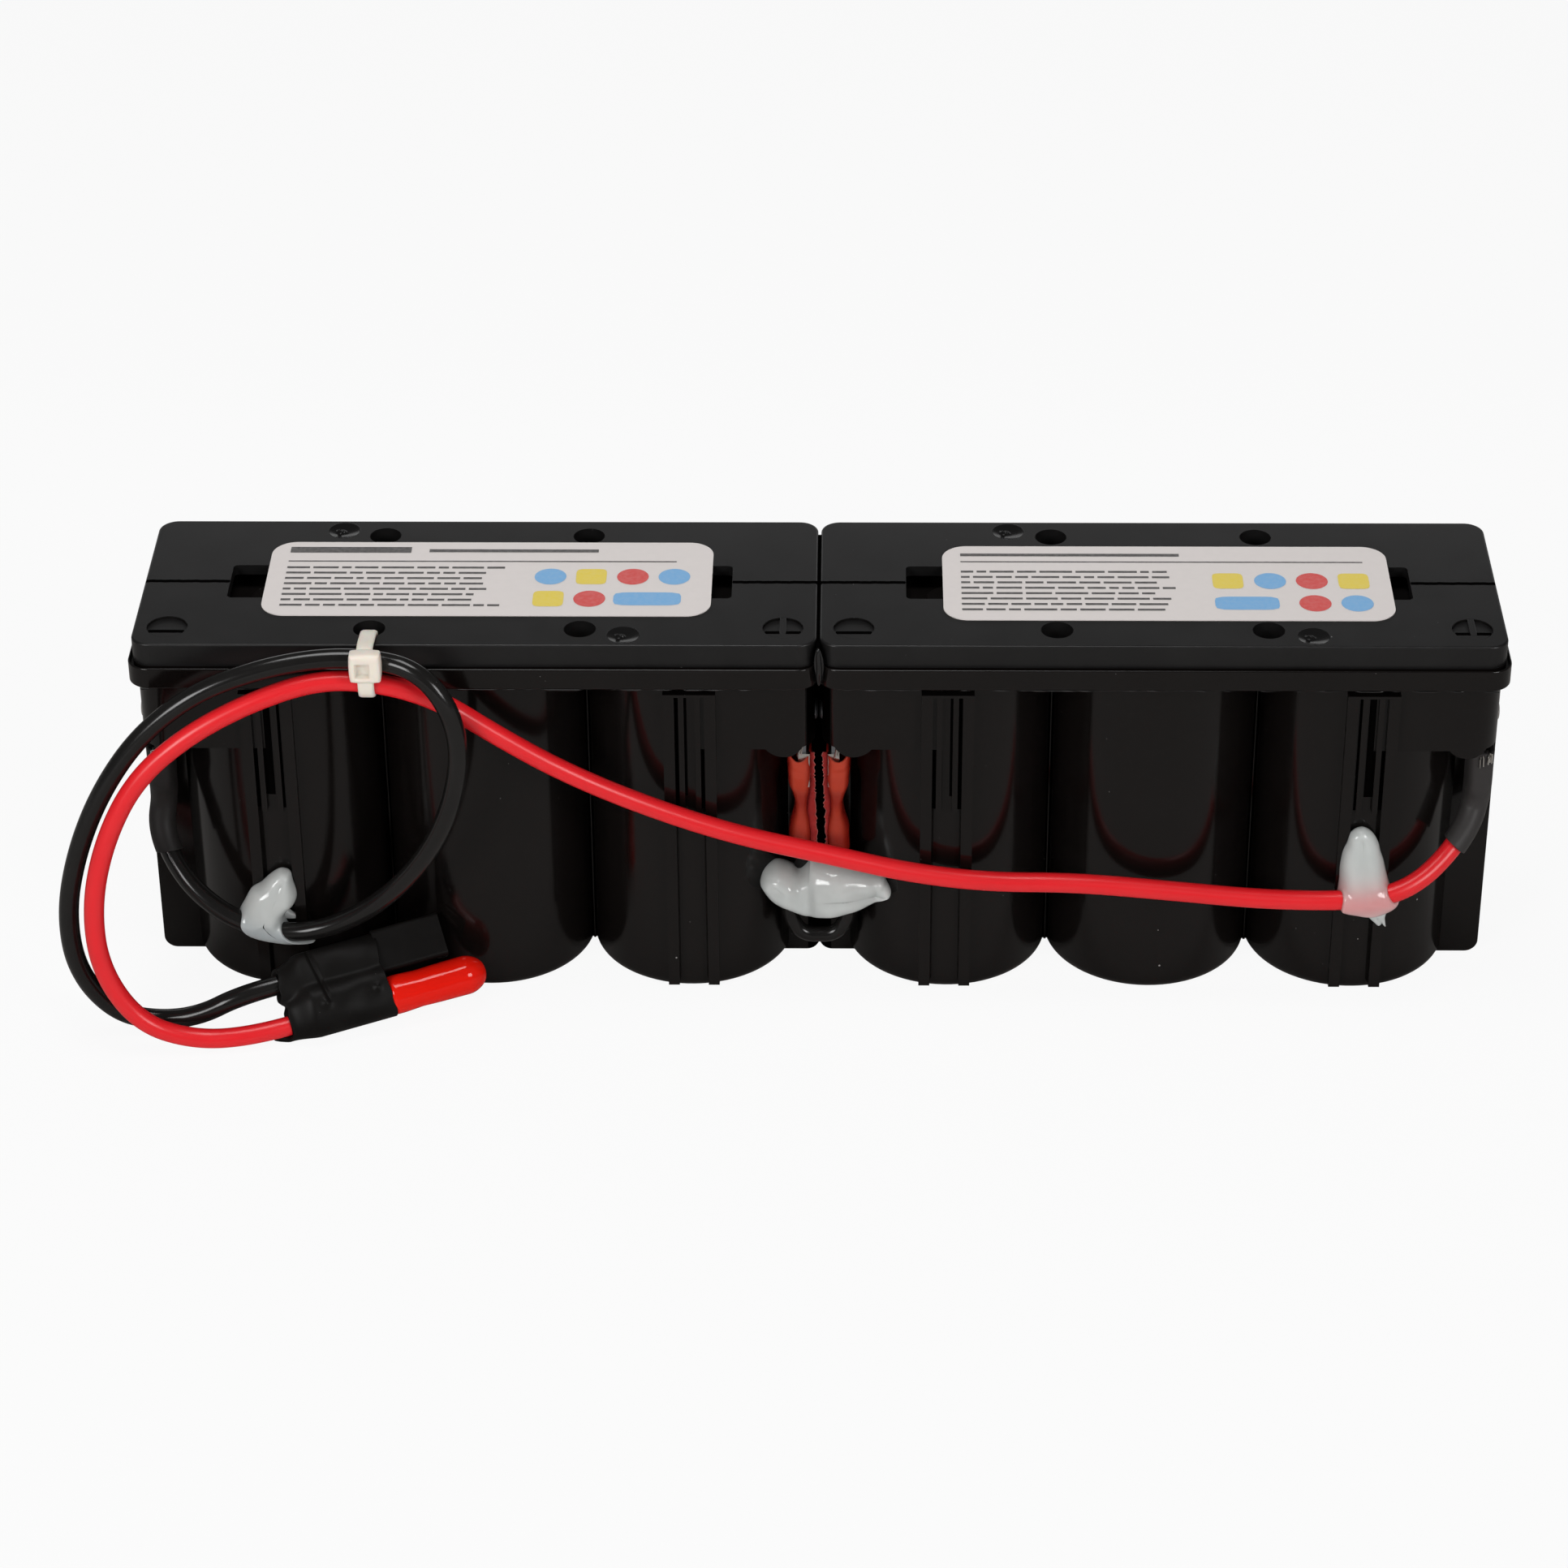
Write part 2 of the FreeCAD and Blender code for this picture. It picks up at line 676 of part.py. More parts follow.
def receptacle(body_bottom, barrel_top, barrel_bottom):
    # Folded contact round the tab: a base, two rolled edges, a neck and a crimped barrel.
    half_slot = tab_thickness / 2 + contact_play
    low, high = tab_x - half_slot - contact_base, tab_x + half_slot + contact_roll
    half = contact_width / 2
    body = box(low, high, tab_y - half, tab_y + half, body_bottom, contact_top)
    rolled = [e for e in body.Edges if e.BoundBox.ZLength > 1 and e.BoundBox.XMin > tab_x]
    body = body.makeFillet(contact_roll / 2, rolled)
    grip = tab_width / 2 + contact_play
    tab_room = box(tab_x - half_slot, tab_x + half_slot, tab_y - grip, tab_y + grip, body_bottom, contact_top)
    half_gap = contact_gap / 2
    opening = box(tab_x, high, tab_y - half_gap, tab_y + half_gap, body_bottom, contact_top)
    body = body.cut(tab_room).cut(opening)
    neck = box(low, tab_x - half_slot, tab_y - barrel_radius, tab_y + barrel_radius, barrel_bottom, body_bottom)
    barrel = post(barrel_radius, tab_x, tab_y, barrel_bottom, barrel_top)
    return fuse([body, neck, barrel])


def insulating_sleeve():
    # Flat moulded sleeve that narrows behind the contact and flares round the crimp.
    span = sleeve_top - sleeve_bottom
    width = contact_width + 2 * (sleeve_wall + sleeve_play)
    sections = [
        (sleeve_top, sleeve_thickness, width, sleeve_corner),
        (sleeve_contact_bottom, sleeve_thickness, width, sleeve_corner),
        (sleeve_top - 0.50 * span, sleeve_neck_thickness, sleeve_neck_width, sleeve_corner),
        (sleeve_top - 0.62 * span, sleeve_neck_thickness, sleeve_neck_width, sleeve_corner),
        (sleeve_barrel_top, sleeve_flare, sleeve_flare_width, sleeve_round),
        (sleeve_bottom, sleeve_flare, sleeve_foot_width, sleeve_round),
    ]
    return loft(sections, tab_x, tab_y).cut(loft(sections, tab_x, tab_y, sleeve_wall))


def shrink_tube(route):
    # Tubing shrunk over an outer contact and the first bend of its lead.
    x, y = route[0].x, route[0].y
    width = contact_width + 2 * (shrink_wall + sleeve_play)
    buried = (lead_diameter + 2 * shrink_wall) * 0.8
    sections = [
        (shrink_top, shrink_thickness, width, shrink_corner),
        (lead_contact_bottom, shrink_thickness, width, shrink_corner),
        (lead_start - lead_diameter, buried, buried, buried * 0.45),
    ]
    covered = path(route)[0][:5]
    outside = fuse([loft(sections, x, y), tube(covered, lead_radius + shrink_wall)])
    inside = fuse([loft(sections, x, y, shrink_wall), tube(covered, lead_radius)])
    return outside.cut(inside)


def plug_frame():
    # Directions across the plug: from the red side to the black side, and across its flat.
    across = Z_AXIS.cross(plug_axis).normalize()
    upward = plug_axis.cross(across)
    tilt = radians(plug_tilt)
    wide = across * cos(tilt) + upward * sin(tilt)
    return wide, plug_axis.cross(wide)


def stadium(centre, spacing, radius, wide, thin):
    # Two half circles joined by straight sides.
    edges, ends = [], []
    for side in (-1, 1):
        middle = centre + wide * (side * spacing / 2)
        ends.append([middle - thin * radius, middle + thin * radius])
        edges.append(Part.Arc(ends[-1][0], middle + wide * (side * radius), ends[-1][1]).toShape())
    first = Part.LineSegment(ends[0][1], ends[1][1]).toShape()
    second = Part.LineSegment(ends[1][0], ends[0][0]).toShape()
    return Part.Wire([edges[0], first, edges[1], second])


def plug_centre(along):
    # Middle of the plug; past its first quarter it is lifted by what its radius grows.
    wide, thin = plug_frame()
    share = min(1.0, 4 * along / plug_length)
    lift = (plug_radius - plug_end_radius) * share * share * (3 - 2 * share)
    return red_end + wide * (plug_spacing / 2) + plug_axis * along + Z_AXIS * lift


def plug_sleeve():
    wide, thin = plug_frame()
    stations = eased(((0.0, plug_end_radius), (plug_length / 4, plug_radius), (plug_length, plug_radius)))
    wires = [stadium(plug_centre(along), plug_spacing, radius, wide, thin) for along, radius in stations]
    return Part.makeLoft(wires, True, True)


def bar(centre, width, thickness, corner, length):
    wide, thin = plug_frame()
    return Part.Face(outline(width, thickness, corner, centre, wide, thin)).extrude(plug_axis * length)


def plug_housing():
    # Flat insulated housing on the black side, open at its far end.
    wide, thin = plug_frame()
    centre = plug_centre(plug_length) + wide * (plug_spacing / 2)
    body = bar(centre, housing_width, housing_thickness, housing_round, housing_length)
    depth = housing_length - 2 * housing_wall
    mouth = centre + plug_axis * (housing_length - depth)
    room = bar(mouth, housing_width - 2 * housing_wall, housing_thickness - 2 * housing_wall,
               housing_round / 2, depth)
    return body.cut(room)


def plug_receptacle():
    # Contact inside the housing, set back from its mouth.
    wide, thin = plug_frame()
    centre = plug_centre(plug_length) + wide * (plug_spacing / 2)
    width, thickness = housing_width - 2 * housing_wall, housing_thickness - 2 * housing_wall
    floor = centre + plug_axis * (2 * housing_wall)
    depth = housing_length - 4 * housing_wall
    body = bar(floor, width, thickness, housing_round / 2, depth)
    grip = bar(floor, tab_width - contact_base, tab_thickness, tab_thickness / 4, depth)
    return body.cut(grip)


def plug_pin():
    wide, thin = plug_frame()
    base = plug_centre(plug_length) - wide * (plug_spacing / 2)
    pin = Part.makeCylinder(pin_radius, pin_length, base, plug_axis)
    tip = base + plug_axis * pin_length
    rim = [e for e in pin.Edges if (e.BoundBox.Center - tip).Length < 1e-3]
    return pin.makeFillet(pin_radius * 0.6, rim)


def plug_cap():
    # Dipped cap over the red contact: a round wall with a domed end.
    wide, thin = plug_frame()
    base = plug_centre(plug_length) - wide * (plug_spacing / 2) + plug_axis * cap_start
    bore = pin_radius + cap_gap
    radius = bore + cap_wall
    straight = cap_length - radius
    dome = base + plug_axis * straight
    outside = fuse([Part.makeCylinder(radius, straight, base, plug_axis), Part.makeSphere(radius, dome)])
    inside = fuse([Part.makeCylinder(bore, straight, base, plug_axis), Part.makeSphere(bore, dome)])
    return outside.cut(inside)


def cable_tie():
    # Strap through a lid hole, over the lid's front edge, round both leads and back under the lip.
    tie_x, tie_y = -half_pitch - hole_x, -hole_y
    stand = tie_gap + tie_thickness / 2
    over = max(p.z for p in black_route if abs(p.x - tie_x) < cell_pitch / 2) + lead_radius
    front = lip_front - lead_diameter - 2 * stand
    corners = [
        V(tie_x, tie_y, lip_bottom - stand),
        V(tie_x, tie_y, total_height + stand),
        V(tie_x, lip_front, over + stand),
        V(tie_x, front, over + stand),
        V(tie_x, front, lip_bottom - stand),
    ]
    loop = Part.makePolygon(corners + corners[:1])
    outer = Part.Face(loop.makeOffset2D(tie_thickness / 2))
    inner = Part.Face(loop.makeOffset2D(-tie_thickness / 2))
    strap_band = outer.cut(inner).extrude(V(tie_width, 0, 0))
    strap_band.translate(V(-tie_width / 2, 0, 0))
    head = box(tie_x - tie_head_width / 2, tie_x + tie_head_width / 2,
               front - tie_thickness / 2 - tie_head_depth, front - tie_thickness / 2,
               tie_head_level - tie_head_height / 2, tie_head_level + tie_head_height / 2)
    head = head.makeFillet(tie_thickness / 2, head.Edges)
    head = head.cut(box(tie_x - tie_window / 2, tie_x + tie_window / 2, front - 2 * tie_head_depth, front,
                        tie_head_level - tie_window, tie_head_level))
    return fuse([strap_band, head])


def ellipsoid(centre, size):
    ball = Part.makeSphere(1.0)
    stretch = FreeCAD.Matrix()
    stretch.scale(size)
    ball = ball.transformGeometry(stretch)
    ball.translate(centre)
    return ball


def glue(lobes, place, neighbours):
    # Blobs run together round a point of a wire, less what they cling to.
    unit = lead_diameter
    dab = fuse([ellipsoid(place + V(*offset) * unit, V(*size) * unit) for offset, size in lobes])
    for neighbour in neighbours:
        dab = dab.cut(neighbour)
    solids = sorted(dab.Solids, key=lambda s: s.Volume)
    return solids[-1]


def seam_bead(neighbours):
    bead = post(bead_radius, 0, bead_y, lip_bottom + bead_margin, total_height - lid_round - bead_margin)
    for neighbour in neighbours:
        bead = bead.cut(neighbour)
    return bead


def build():
    parts = {}
    case, cover, plate = container(), lid(), inner_cover()
    tab = terminal()
    sleeved = receptacle(sleeve_contact_bottom, sleeve_barrel_top, link_start)
    bare = receptacle(lead_contact_bottom, lead_contact_bottom, lead_start)
    sleeve = insulating_sleeve()
    label_top = total_height + label_thickness
    tag = slab(label_length, label_width, label_corner, total_height, label_top)
    label_shifts = {"left": left_label_shift, "right": right_label_shift}

    for name, side in (("left", -1), ("right", 1)):
        place = V(side * half_pitch, 0, 0)
        first = 1 if side < 0 else 4
        parts[name + "_container"] = moved(mirrored(case) if side < 0 else case, place)
        parts[name + "_lid"] = moved(cover, place)
        parts[name + "_label"] = moved(tag, place + label_shifts[name])
        parts[name + "_inner_cover"] = moved(mirrored(plate) if side < 0 else plate, place)
        for index, x in enumerate(cell_places):
            parts["cell_%d" % (first + index)] = moved(cell(x), place)
            parts["relief_valve_%d" % (first + index)] = moved(relief_valve(x), place)
        for index, x in enumerate((-cell_pitch / 2, cell_pitch / 2)):
            number = first + index
            parts["strap_%d_%d" % (number, number + 1)] = moved(strap(x), place)
        inner, outer = (2, 1) if side < 0 else (3, 4)
        outer_place = place + outward * side
        parts["terminal_%d" % inner] = moved(tab if side < 0 else mirrored(tab), place)
        parts["terminal_%d" % outer] = moved(mirrored(tab) if side < 0 else tab, outer_place)
        parts["receptacle_%d" % inner] = moved(sleeved if side < 0 else mirrored(sleeved), place)
        parts["receptacle_%d" % outer] = moved(mirrored(bare) if side < 0 else bare, outer_place)
        parts[name + "_sleeve"] = moved(sleeve if side < 0 else mirrored(sleeve), place)

    wide, thin = plug_frame()
    black_end = red_end + wide * plug_spacing
    black_full = black_route + [black_end - plug_axis * plug_run, black_end]
    parts["link_wire"] = cord("link_wire", link_route, link_diameter)
    parts["red_lead"] = cord("red_lead", red_route, lead_diameter)
    parts["black_lead"] = cord("black_lead", black_full, lead_diameter)
    parts["red_shrink"] = shrink_tube(red_route)
    parts["black_shrink"] = shrink_tube(black_full)
    parts["plug_sleeve"] = plug_sleeve()
    parts["plug_housing"] = plug_housing()
    parts["plug_receptacle"] = plug_receptacle()
    parts["plug_pin"] = plug_pin()
    parts["plug_cap"] = plug_cap()
    parts["cable_tie"] = cable_tie()

    parts["left_glue"] = glue(left_dab, black_route[6], [parts["left_container"], parts["black_lead"]])
    parts["right_glue"] = glue(right_dab, red_route[5], [parts["right_container"], parts["red_lead"]])
    parts["middle_glue"] = glue(
        middle_dab, link_route[2],
        [parts["left_container"], parts["right_container"], parts["link_wire"],
         parts["left_sleeve"], parts["right_sleeve"], parts["red_lead"]],
    )
    parts["seam_bead"] = seam_bead(
        [parts["left_container"], parts["right_container"], parts["left_lid"], parts["right_lid"]]
    )
    return parts


os.makedirs("parts", exist_ok=True)
for node, shape in build().items():
    shape.exportStep("parts/" + node + ".step")
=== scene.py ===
import math

import bmesh
import bpy
import numpy as np
from mathutils import Matrix, Vector


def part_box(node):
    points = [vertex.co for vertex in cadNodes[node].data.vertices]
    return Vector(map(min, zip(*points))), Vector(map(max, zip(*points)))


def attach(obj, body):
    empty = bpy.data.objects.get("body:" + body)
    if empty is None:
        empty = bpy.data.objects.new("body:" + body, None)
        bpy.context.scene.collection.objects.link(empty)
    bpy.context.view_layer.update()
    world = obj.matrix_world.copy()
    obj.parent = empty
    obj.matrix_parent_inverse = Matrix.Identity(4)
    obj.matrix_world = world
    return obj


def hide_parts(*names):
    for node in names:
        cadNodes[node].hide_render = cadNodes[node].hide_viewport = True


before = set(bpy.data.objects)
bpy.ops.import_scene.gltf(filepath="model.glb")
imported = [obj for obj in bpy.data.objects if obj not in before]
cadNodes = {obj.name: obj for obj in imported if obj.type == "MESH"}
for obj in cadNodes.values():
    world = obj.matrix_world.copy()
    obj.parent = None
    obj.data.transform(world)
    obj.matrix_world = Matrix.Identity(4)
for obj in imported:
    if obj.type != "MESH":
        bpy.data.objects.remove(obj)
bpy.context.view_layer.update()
mm = 0.001  # lengths below are in millimetres, and the scene is in metres
scene = bpy.context.scene
scene.view_settings.view_transform = "Standard"
print("frame loaded:", len(cadNodes), "nodes")


# Camera

cameraLook = {
    "place": (5.9128, -646.6433, 441.1435),
    "yaw": -0.0183764,
    "pitch": 0.5663427,
    "roll": 0.0071607,
    "focalPixels": 5620.12,
    "framePixels": 1932,
    "sensor": 36.0,
    "clipStart": 10.0,
}


def makeCamera(look):
    # forward comes from yaw and pitch; right and down are then turned about it by the roll
    yaw, pitch, roll = look["yaw"], look["pitch"], look["roll"]
    forward = Vector((math.sin(yaw) * math.cos(pitch), math.cos(yaw) * math.cos(pitch),
                      -math.sin(pitch)))
    right = Vector((math.cos(yaw), -math.sin(yaw), 0.0))
    down = forward.cross(right)
    rightTurned = right * math.cos(roll) + down * math.sin(roll)
    downTurned = down * math.cos(roll) - right * math.sin(roll)
    data = bpy.data.cameras.new("photoCamera")
    data.sensor_width = look["sensor"]
    data.lens = look["sensor"] * look["focalPixels"] / look["framePixels"]
    data.clip_start = look["clipStart"] * mm
    cam = bpy.data.objects.new("photoCamera", data)
    turn = Matrix((rightTurned, -downTurned, -forward)).transposed().to_4x4()
    cam.matrix_world = Matrix.Translation(Vector(look["place"]) * mm) @ turn
    scene.collection.objects.link(cam)
    scene.camera = cam


makeCamera(cameraLook)


# Shapes shared by the pieces

def gridFaces(rows, cols, closeRows, closeCols):
    # quad (i, j) joins row i to row i + 1 and column j to column j + 1, wrapping where closed
    i, j = np.meshgrid(np.arange(rows if closeRows else rows - 1),
                       np.arange(cols if closeCols else cols - 1), indexing="ij")
    i, j = i.ravel(), j.ravel()
    iNext, jNext = (i + 1) % rows, (j + 1) % cols
    corners = [i * cols + j, i * cols + jNext, iNext * cols + jNext, iNext * cols + j]
    return np.stack(corners, axis=1)


def gridMesh(name, points, closeRows=False, closeCols=False, caps=(False, False)):
    # points is rows by columns by three; a cap is one flat face over the first or the last row
    rows, cols = points.shape[:2]
    faces = gridFaces(rows, cols, closeRows, closeCols).tolist()
    if caps[0]:
        faces.append(list(range(cols))[::-1])
    if caps[1]:
        faces.append([(rows - 1) * cols + k for k in range(cols)])
    mesh = bpy.data.meshes.new(name)
    mesh.from_pydata((points.reshape(-1, 3) * mm).tolist(), [], faces)
    mesh.update()
    return mesh


def weld(mesh):
    # joins points that lie on each other at poles and seams, and turns every face outwards
    work = bmesh.new()
    work.from_mesh(mesh)
    bmesh.ops.remove_doubles(work, verts=work.verts, dist=1e-6)
    bmesh.ops.recalc_face_normals(work, faces=work.faces)
    work.to_mesh(mesh)
    work.free()
    mesh.update()
    return mesh


def linkPiece(name, mesh, material, body="root", smooth=True):
    piece = bpy.data.objects.new(name, mesh)
    scene.collection.objects.link(piece)
    mesh.materials.append(material)
    if smooth:
        mesh.polygons.foreach_set("use_smooth", np.ones(len(mesh.polygons), dtype=bool))
    if body:
        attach(piece, body)
    return piece


def makePiece(name, points, material, node=None, closeRows=False, caps=(True, True),
              sharp=None, smooth=True):
    # closed piece from a grid whose rows are rings; sharp is the angle from which an edge shows
    mesh = weld(gridMesh(name, points, closeRows, closeCols=True, caps=caps))
    if sharp:
        mesh.set_sharp_from_angle(angle=sharp)
    piece = linkPiece(name, mesh, material, smooth=smooth)
    if node:
        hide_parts(node)
    return piece


def readPoints(mesh):
    flat = np.empty(len(mesh.vertices) * 3)
    mesh.vertices.foreach_get("co", flat)
    return flat.reshape(-1, 3) / mm


def paintPoints(mesh, name, values):
    layer = mesh.attributes.new(name, "FLOAT", "POINT")
    layer.data.foreach_set("value", np.asarray(values, np.float32))


def smoothStep(low, high, value):
    # 3 s ** 2 - 2 s ** 3, where s is the share of the way from low to high
    share = np.clip((value - low) / (high - low), 0.0, 1.0)
    return share * share * (3.0 - 2.0 * share)


def unit(vectors):
    return vectors / np.linalg.norm(vectors, axis=-1, keepdims=True)


def fullTurn(count):
    return np.linspace(0, 2 * np.pi, count, endpoint=False)


def closedCurve(knots, count):
    # Catmull-Rom line through the knots and back: each stretch is a cubic of four neighbours
    knots = np.asarray(knots, float)
    total = len(knots)
    place = np.linspace(0.0, total, count, endpoint=False)
    first = np.floor(place).astype(int)
    t = (place - first)[:, None]
    a, b, c, d = (knots[(first + shift) % total] for shift in (-1, 0, 1, 2))
    square, cube = 2 * a - 5 * b + 4 * c - d, 3 * b - a - 3 * c + d
    return 0.5 * (2 * b + (c - a) * t + square * t ** 2 + cube * t ** 3)


def ovalRadius(turn, halfA, halfB, power):
    # radius of the superellipse |x / a| ** p + |y / b| ** p = 1 at each angle
    across, upward = np.abs(np.cos(turn)) / halfA, np.abs(np.sin(turn)) / halfB
    return (across ** power + upward ** power) ** (-1.0 / power)


def squareRing(centreA, centreB, width, height, corner, count):
    # rounded rectangle: the corner's circle, carried to the four corners of a smaller rectangle
    turn = fullTurn(count) + np.pi / count
    circle = np.stack([np.cos(turn), np.sin(turn)], axis=1)
    reach = np.array([width / 2 - corner, height / 2 - corner])
    return np.array([centreA, centreB]) + np.clip(1.6 * circle, -1, 1) * reach + corner * circle


def stackRings(rings, levels):
    # a row for each ring, laid flat at its level
    return np.stack([np.column_stack([ring, np.full(len(ring), level)])
                     for ring, level in zip(rings, levels)])


def drawIn(row, scale):
    # ring made smaller about its own middle
    middle = row.mean(axis=1, keepdims=True)
    return middle + (row - middle) * scale


# Shader steps shared by the finishes

def mathNode(tree, operation, first, second=None, clamp=False):
    # one math step whose inputs are sockets or plain numbers
    node = tree.nodes.new("ShaderNodeMath")
    node.operation = operation
    node.use_clamp = clamp
    for slot, value in enumerate((first, second)):
        if value is None:
            continue
        if isinstance(value, (int, float)):
            node.inputs[slot].default_value = value
        else:
            tree.links.new(value, node.inputs[slot])
    return node.outputs[0]


def noiseNode(tree, vector, scale, detail, rough):
    node = tree.nodes.new("ShaderNodeTexNoise")
    tree.links.new(vector, node.inputs["Vector"])
    if isinstance(scale, (int, float)):
        node.inputs["Scale"].default_value = scale
    else:
        tree.links.new(scale, node.inputs["Scale"])
    node.inputs["Detail"].default_value = detail
    node.inputs["Roughness"].default_value = rough
    return node.outputs["Fac"]


def mixColour(tree, factor, first, second):
    node = tree.nodes.new("ShaderNodeMix")
    node.data_type = "RGBA"
    for slot, value in (("A", first), ("B", second)):
        socket = [s for s in node.inputs if s.name == slot and s.type == "RGBA"][0]
        if isinstance(value, tuple):
            socket.default_value = value
        else:
            tree.links.new(value, socket)
    tree.links.new(factor, node.inputs[0])
    return [s for s in node.outputs if s.type == "RGBA"][0]


def attributeValue(tree, name, output="Fac"):
    node = tree.nodes.new("ShaderNodeAttribute")
    node.attribute_name = name
    return node.outputs[output]


def newMaterial(name, **values):
    mat = bpy.data.materials.new(name)
    mat.use_nodes = True
    shader = mat.node_tree.nodes["Principled BSDF"]
    for label, value in values.items():
        shader.inputs[label].default_value = value
    return mat, mat.node_tree, shader


def objectVector(tree):
    return tree.nodes.new("ShaderNodeTexCoord").outputs["Object"]


def linkColour(tree, shader, colour):
    tree.links.new(colour, shader.inputs["Base Color"])


def linkRoughness(tree, shader, mask, share, base):
    # roughness is share * mask + base
    value = mathNode(tree, "ADD", mathNode(tree, "MULTIPLY", mask, share), base)
    tree.links.new(value, shader.inputs["Roughness"])


def addBump(tree, shader, height, strength, distance):
    bump = tree.nodes.new("ShaderNodeBump")
    bump.inputs["Strength"].default_value = strength
    bump.inputs["Distance"].default_value = distance * mm
    tree.links.new(height, bump.inputs["Height"])
    tree.links.new(bump.outputs["Normal"], shader.inputs["Normal"])


def newGroup(name, inputs, outputs):
    # group with a vector and the named numbers going in, and the named masks coming out
    group = bpy.data.node_groups.new(name, "ShaderNodeTree")
    face = group.interface
    face.new_socket(name="Vector", in_out="INPUT", socket_type="NodeSocketVector")
    for label, value in inputs.items():
        socket = face.new_socket(name=label, in_out="INPUT", socket_type="NodeSocketFloat")
        socket.default_value = value
    for label in outputs:
        face.new_socket(name=label, in_out="OUTPUT", socket_type="NodeSocketFloat")
    start, end = (group.nodes.new(kind) for kind in ("NodeGroupInput", "NodeGroupOutput"))
    return group, start.outputs, end.inputs


def placeGroup(tree, group, vector, values):
    node = tree.nodes.new("ShaderNodeGroup")
    node.node_tree = group
    tree.links.new(vector, node.inputs["Vector"])
    for label, value in values.items():
        node.inputs[label].default_value = value
    return node.outputs


dustLook = {"start": {"Scale": 220.0, "Size": 0.07, "Haze": 0.02}, "power": 5.0, "edge": 60.0,
            "fineScale": 3.1, "fineShare": 0.55, "haze": (90.0, 5.0, 0.62)}
mouldLook = {"start": {"Grain": 2600.0, "Wave": 70.0, "Rough": 0.2, "Spread": 0.1},
             "grain": (2.0, 0.5), "grainShare": 0.25, "wave": (2.0, 0.4),
             "patches": (160.0, 4.0, 0.6)}


def makeDustGroup(look):
    # a speck sits at each Voronoi point, its radius the cell's random value to a high power, so
    # most are tiny; a second, finer layer and a haze of settled dust are added
    group, start, end = newGroup("settledDust", look["start"], ["Mask"])

    def specks(scale):
        cellNode = group.nodes.new("ShaderNodeTexVoronoi")
        group.links.new(start["Vector"], cellNode.inputs["Vector"])
        group.links.new(scale, cellNode.inputs["Scale"])
        split = group.nodes.new("ShaderNodeSeparateColor")
        group.links.new(cellNode.outputs["Color"], split.inputs[0])
        chance = mathNode(group, "POWER", split.outputs[0], look["power"])
        radius = mathNode(group, "MULTIPLY", chance, start["Size"])
        gap = mathNode(group, "SUBTRACT", radius, cellNode.outputs["Distance"])
        return mathNode(group, "MULTIPLY", gap, look["edge"], clamp=True)

    coarse = specks(start["Scale"])
    fine = specks(mathNode(group, "MULTIPLY", start["Scale"], look["fineScale"]))
    both = mathNode(group, "MAXIMUM", coarse, mathNode(group, "MULTIPLY", fine, look["fineShare"]))
    haze = noiseNode(group, start["Vector"], *look["haze"])
    hazeShare = mathNode(group, "MULTIPLY", mathNode(group, "MULTIPLY", haze, haze), start["Haze"])
    group.links.new(mathNode(group, "ADD", both, hazeShare, clamp=True), end["Mask"])
    return group


def makeMouldGroup(look):
    # fine spark-eroded grain plus a long slow waviness, as moulded plastic has
    group, start, end = newGroup("mouldSkin", look["start"], ["Height", "Roughness"])
    grain = noiseNode(group, start["Vector"], start["Grain"], *look["grain"])
    wave = noiseNode(group, start["Vector"], start["Wave"], *look["wave"])
    height = mathNode(group, "ADD", mathNode(group, "MULTIPLY", grain, look["grainShare"]), wave)
    group.links.new(height, end["Height"])
    patches = noiseNode(group, start["Vector"], *look["patches"])
    lift = mathNode(group, "MULTIPLY", mathNode(group, "SUBTRACT", patches, 0.5), start["Spread"])
    group.links.new(mathNode(group, "ADD", start["Rough"], lift, clamp=True), end["Roughness"])
    return group


dustGroup = makeDustGroup(dustLook)
mouldGroup = makeMouldGroup(mouldLook)


# Floor and light

floorLook = {"size": 8000.0, "colour": (0.955, 0.955, 0.955, 1), "glow": (0.970, 0.970, 0.970, 1),
             "lift": 0.95}
cardLook = {"width": 2400.0, "depth": 1800.0, "height": 0.1, "rough": 0.9,
            "colour": (0.38, 0.365, 0.35, 1)}


def flatSheet(name, width, depth, level):
    # level rectangle about the middle of the floor
    x, y = np.meshgrid([-width / 2, width / 2], [-depth / 2, depth / 2])
    return gridMesh(name, np.stack([x, y, np.full((2, 2), level)], axis=-1))


def makeFloor(look):
    # diffuse for light and shadow; the camera, reflections and glass see mostly an even glow
    mat = bpy.data.materials.new("studioFloor")
    mat.use_nodes = True
    tree = mat.node_tree
    tree.nodes.clear()
    diffuse = tree.nodes.new("ShaderNodeBsdfDiffuse")
    diffuse.inputs["Color"].default_value = look["colour"]
    glow = tree.nodes.new("ShaderNodeEmission")
    glow.inputs["Color"].default_value = look["glow"]
    rays = tree.nodes.new("ShaderNodeLightPath").outputs
    seen = mathNode(tree, "MAXIMUM", rays["Is Camera Ray"], rays["Is Glossy Ray"])
    seen = mathNode(tree, "MAXIMUM", seen, rays["Is Transmission Ray"])
    mix = tree.nodes.new("ShaderNodeMixShader")
    out = tree.nodes.new("ShaderNodeOutputMaterial")
    tree.links.new(mathNode(tree, "MULTIPLY", seen, look["lift"]), mix.inputs[0])
    tree.links.new(diffuse.outputs[0], mix.inputs[1])
    tree.links.new(glow.outputs[0], mix.inputs[2])
    tree.links.new(mix.outputs[0], out.inputs["Surface"])
    mesh = flatSheet("studioFloor", look["size"], look["size"], 0.0)
    linkPiece("studioFloor", mesh, mat, body=None, smooth=False)


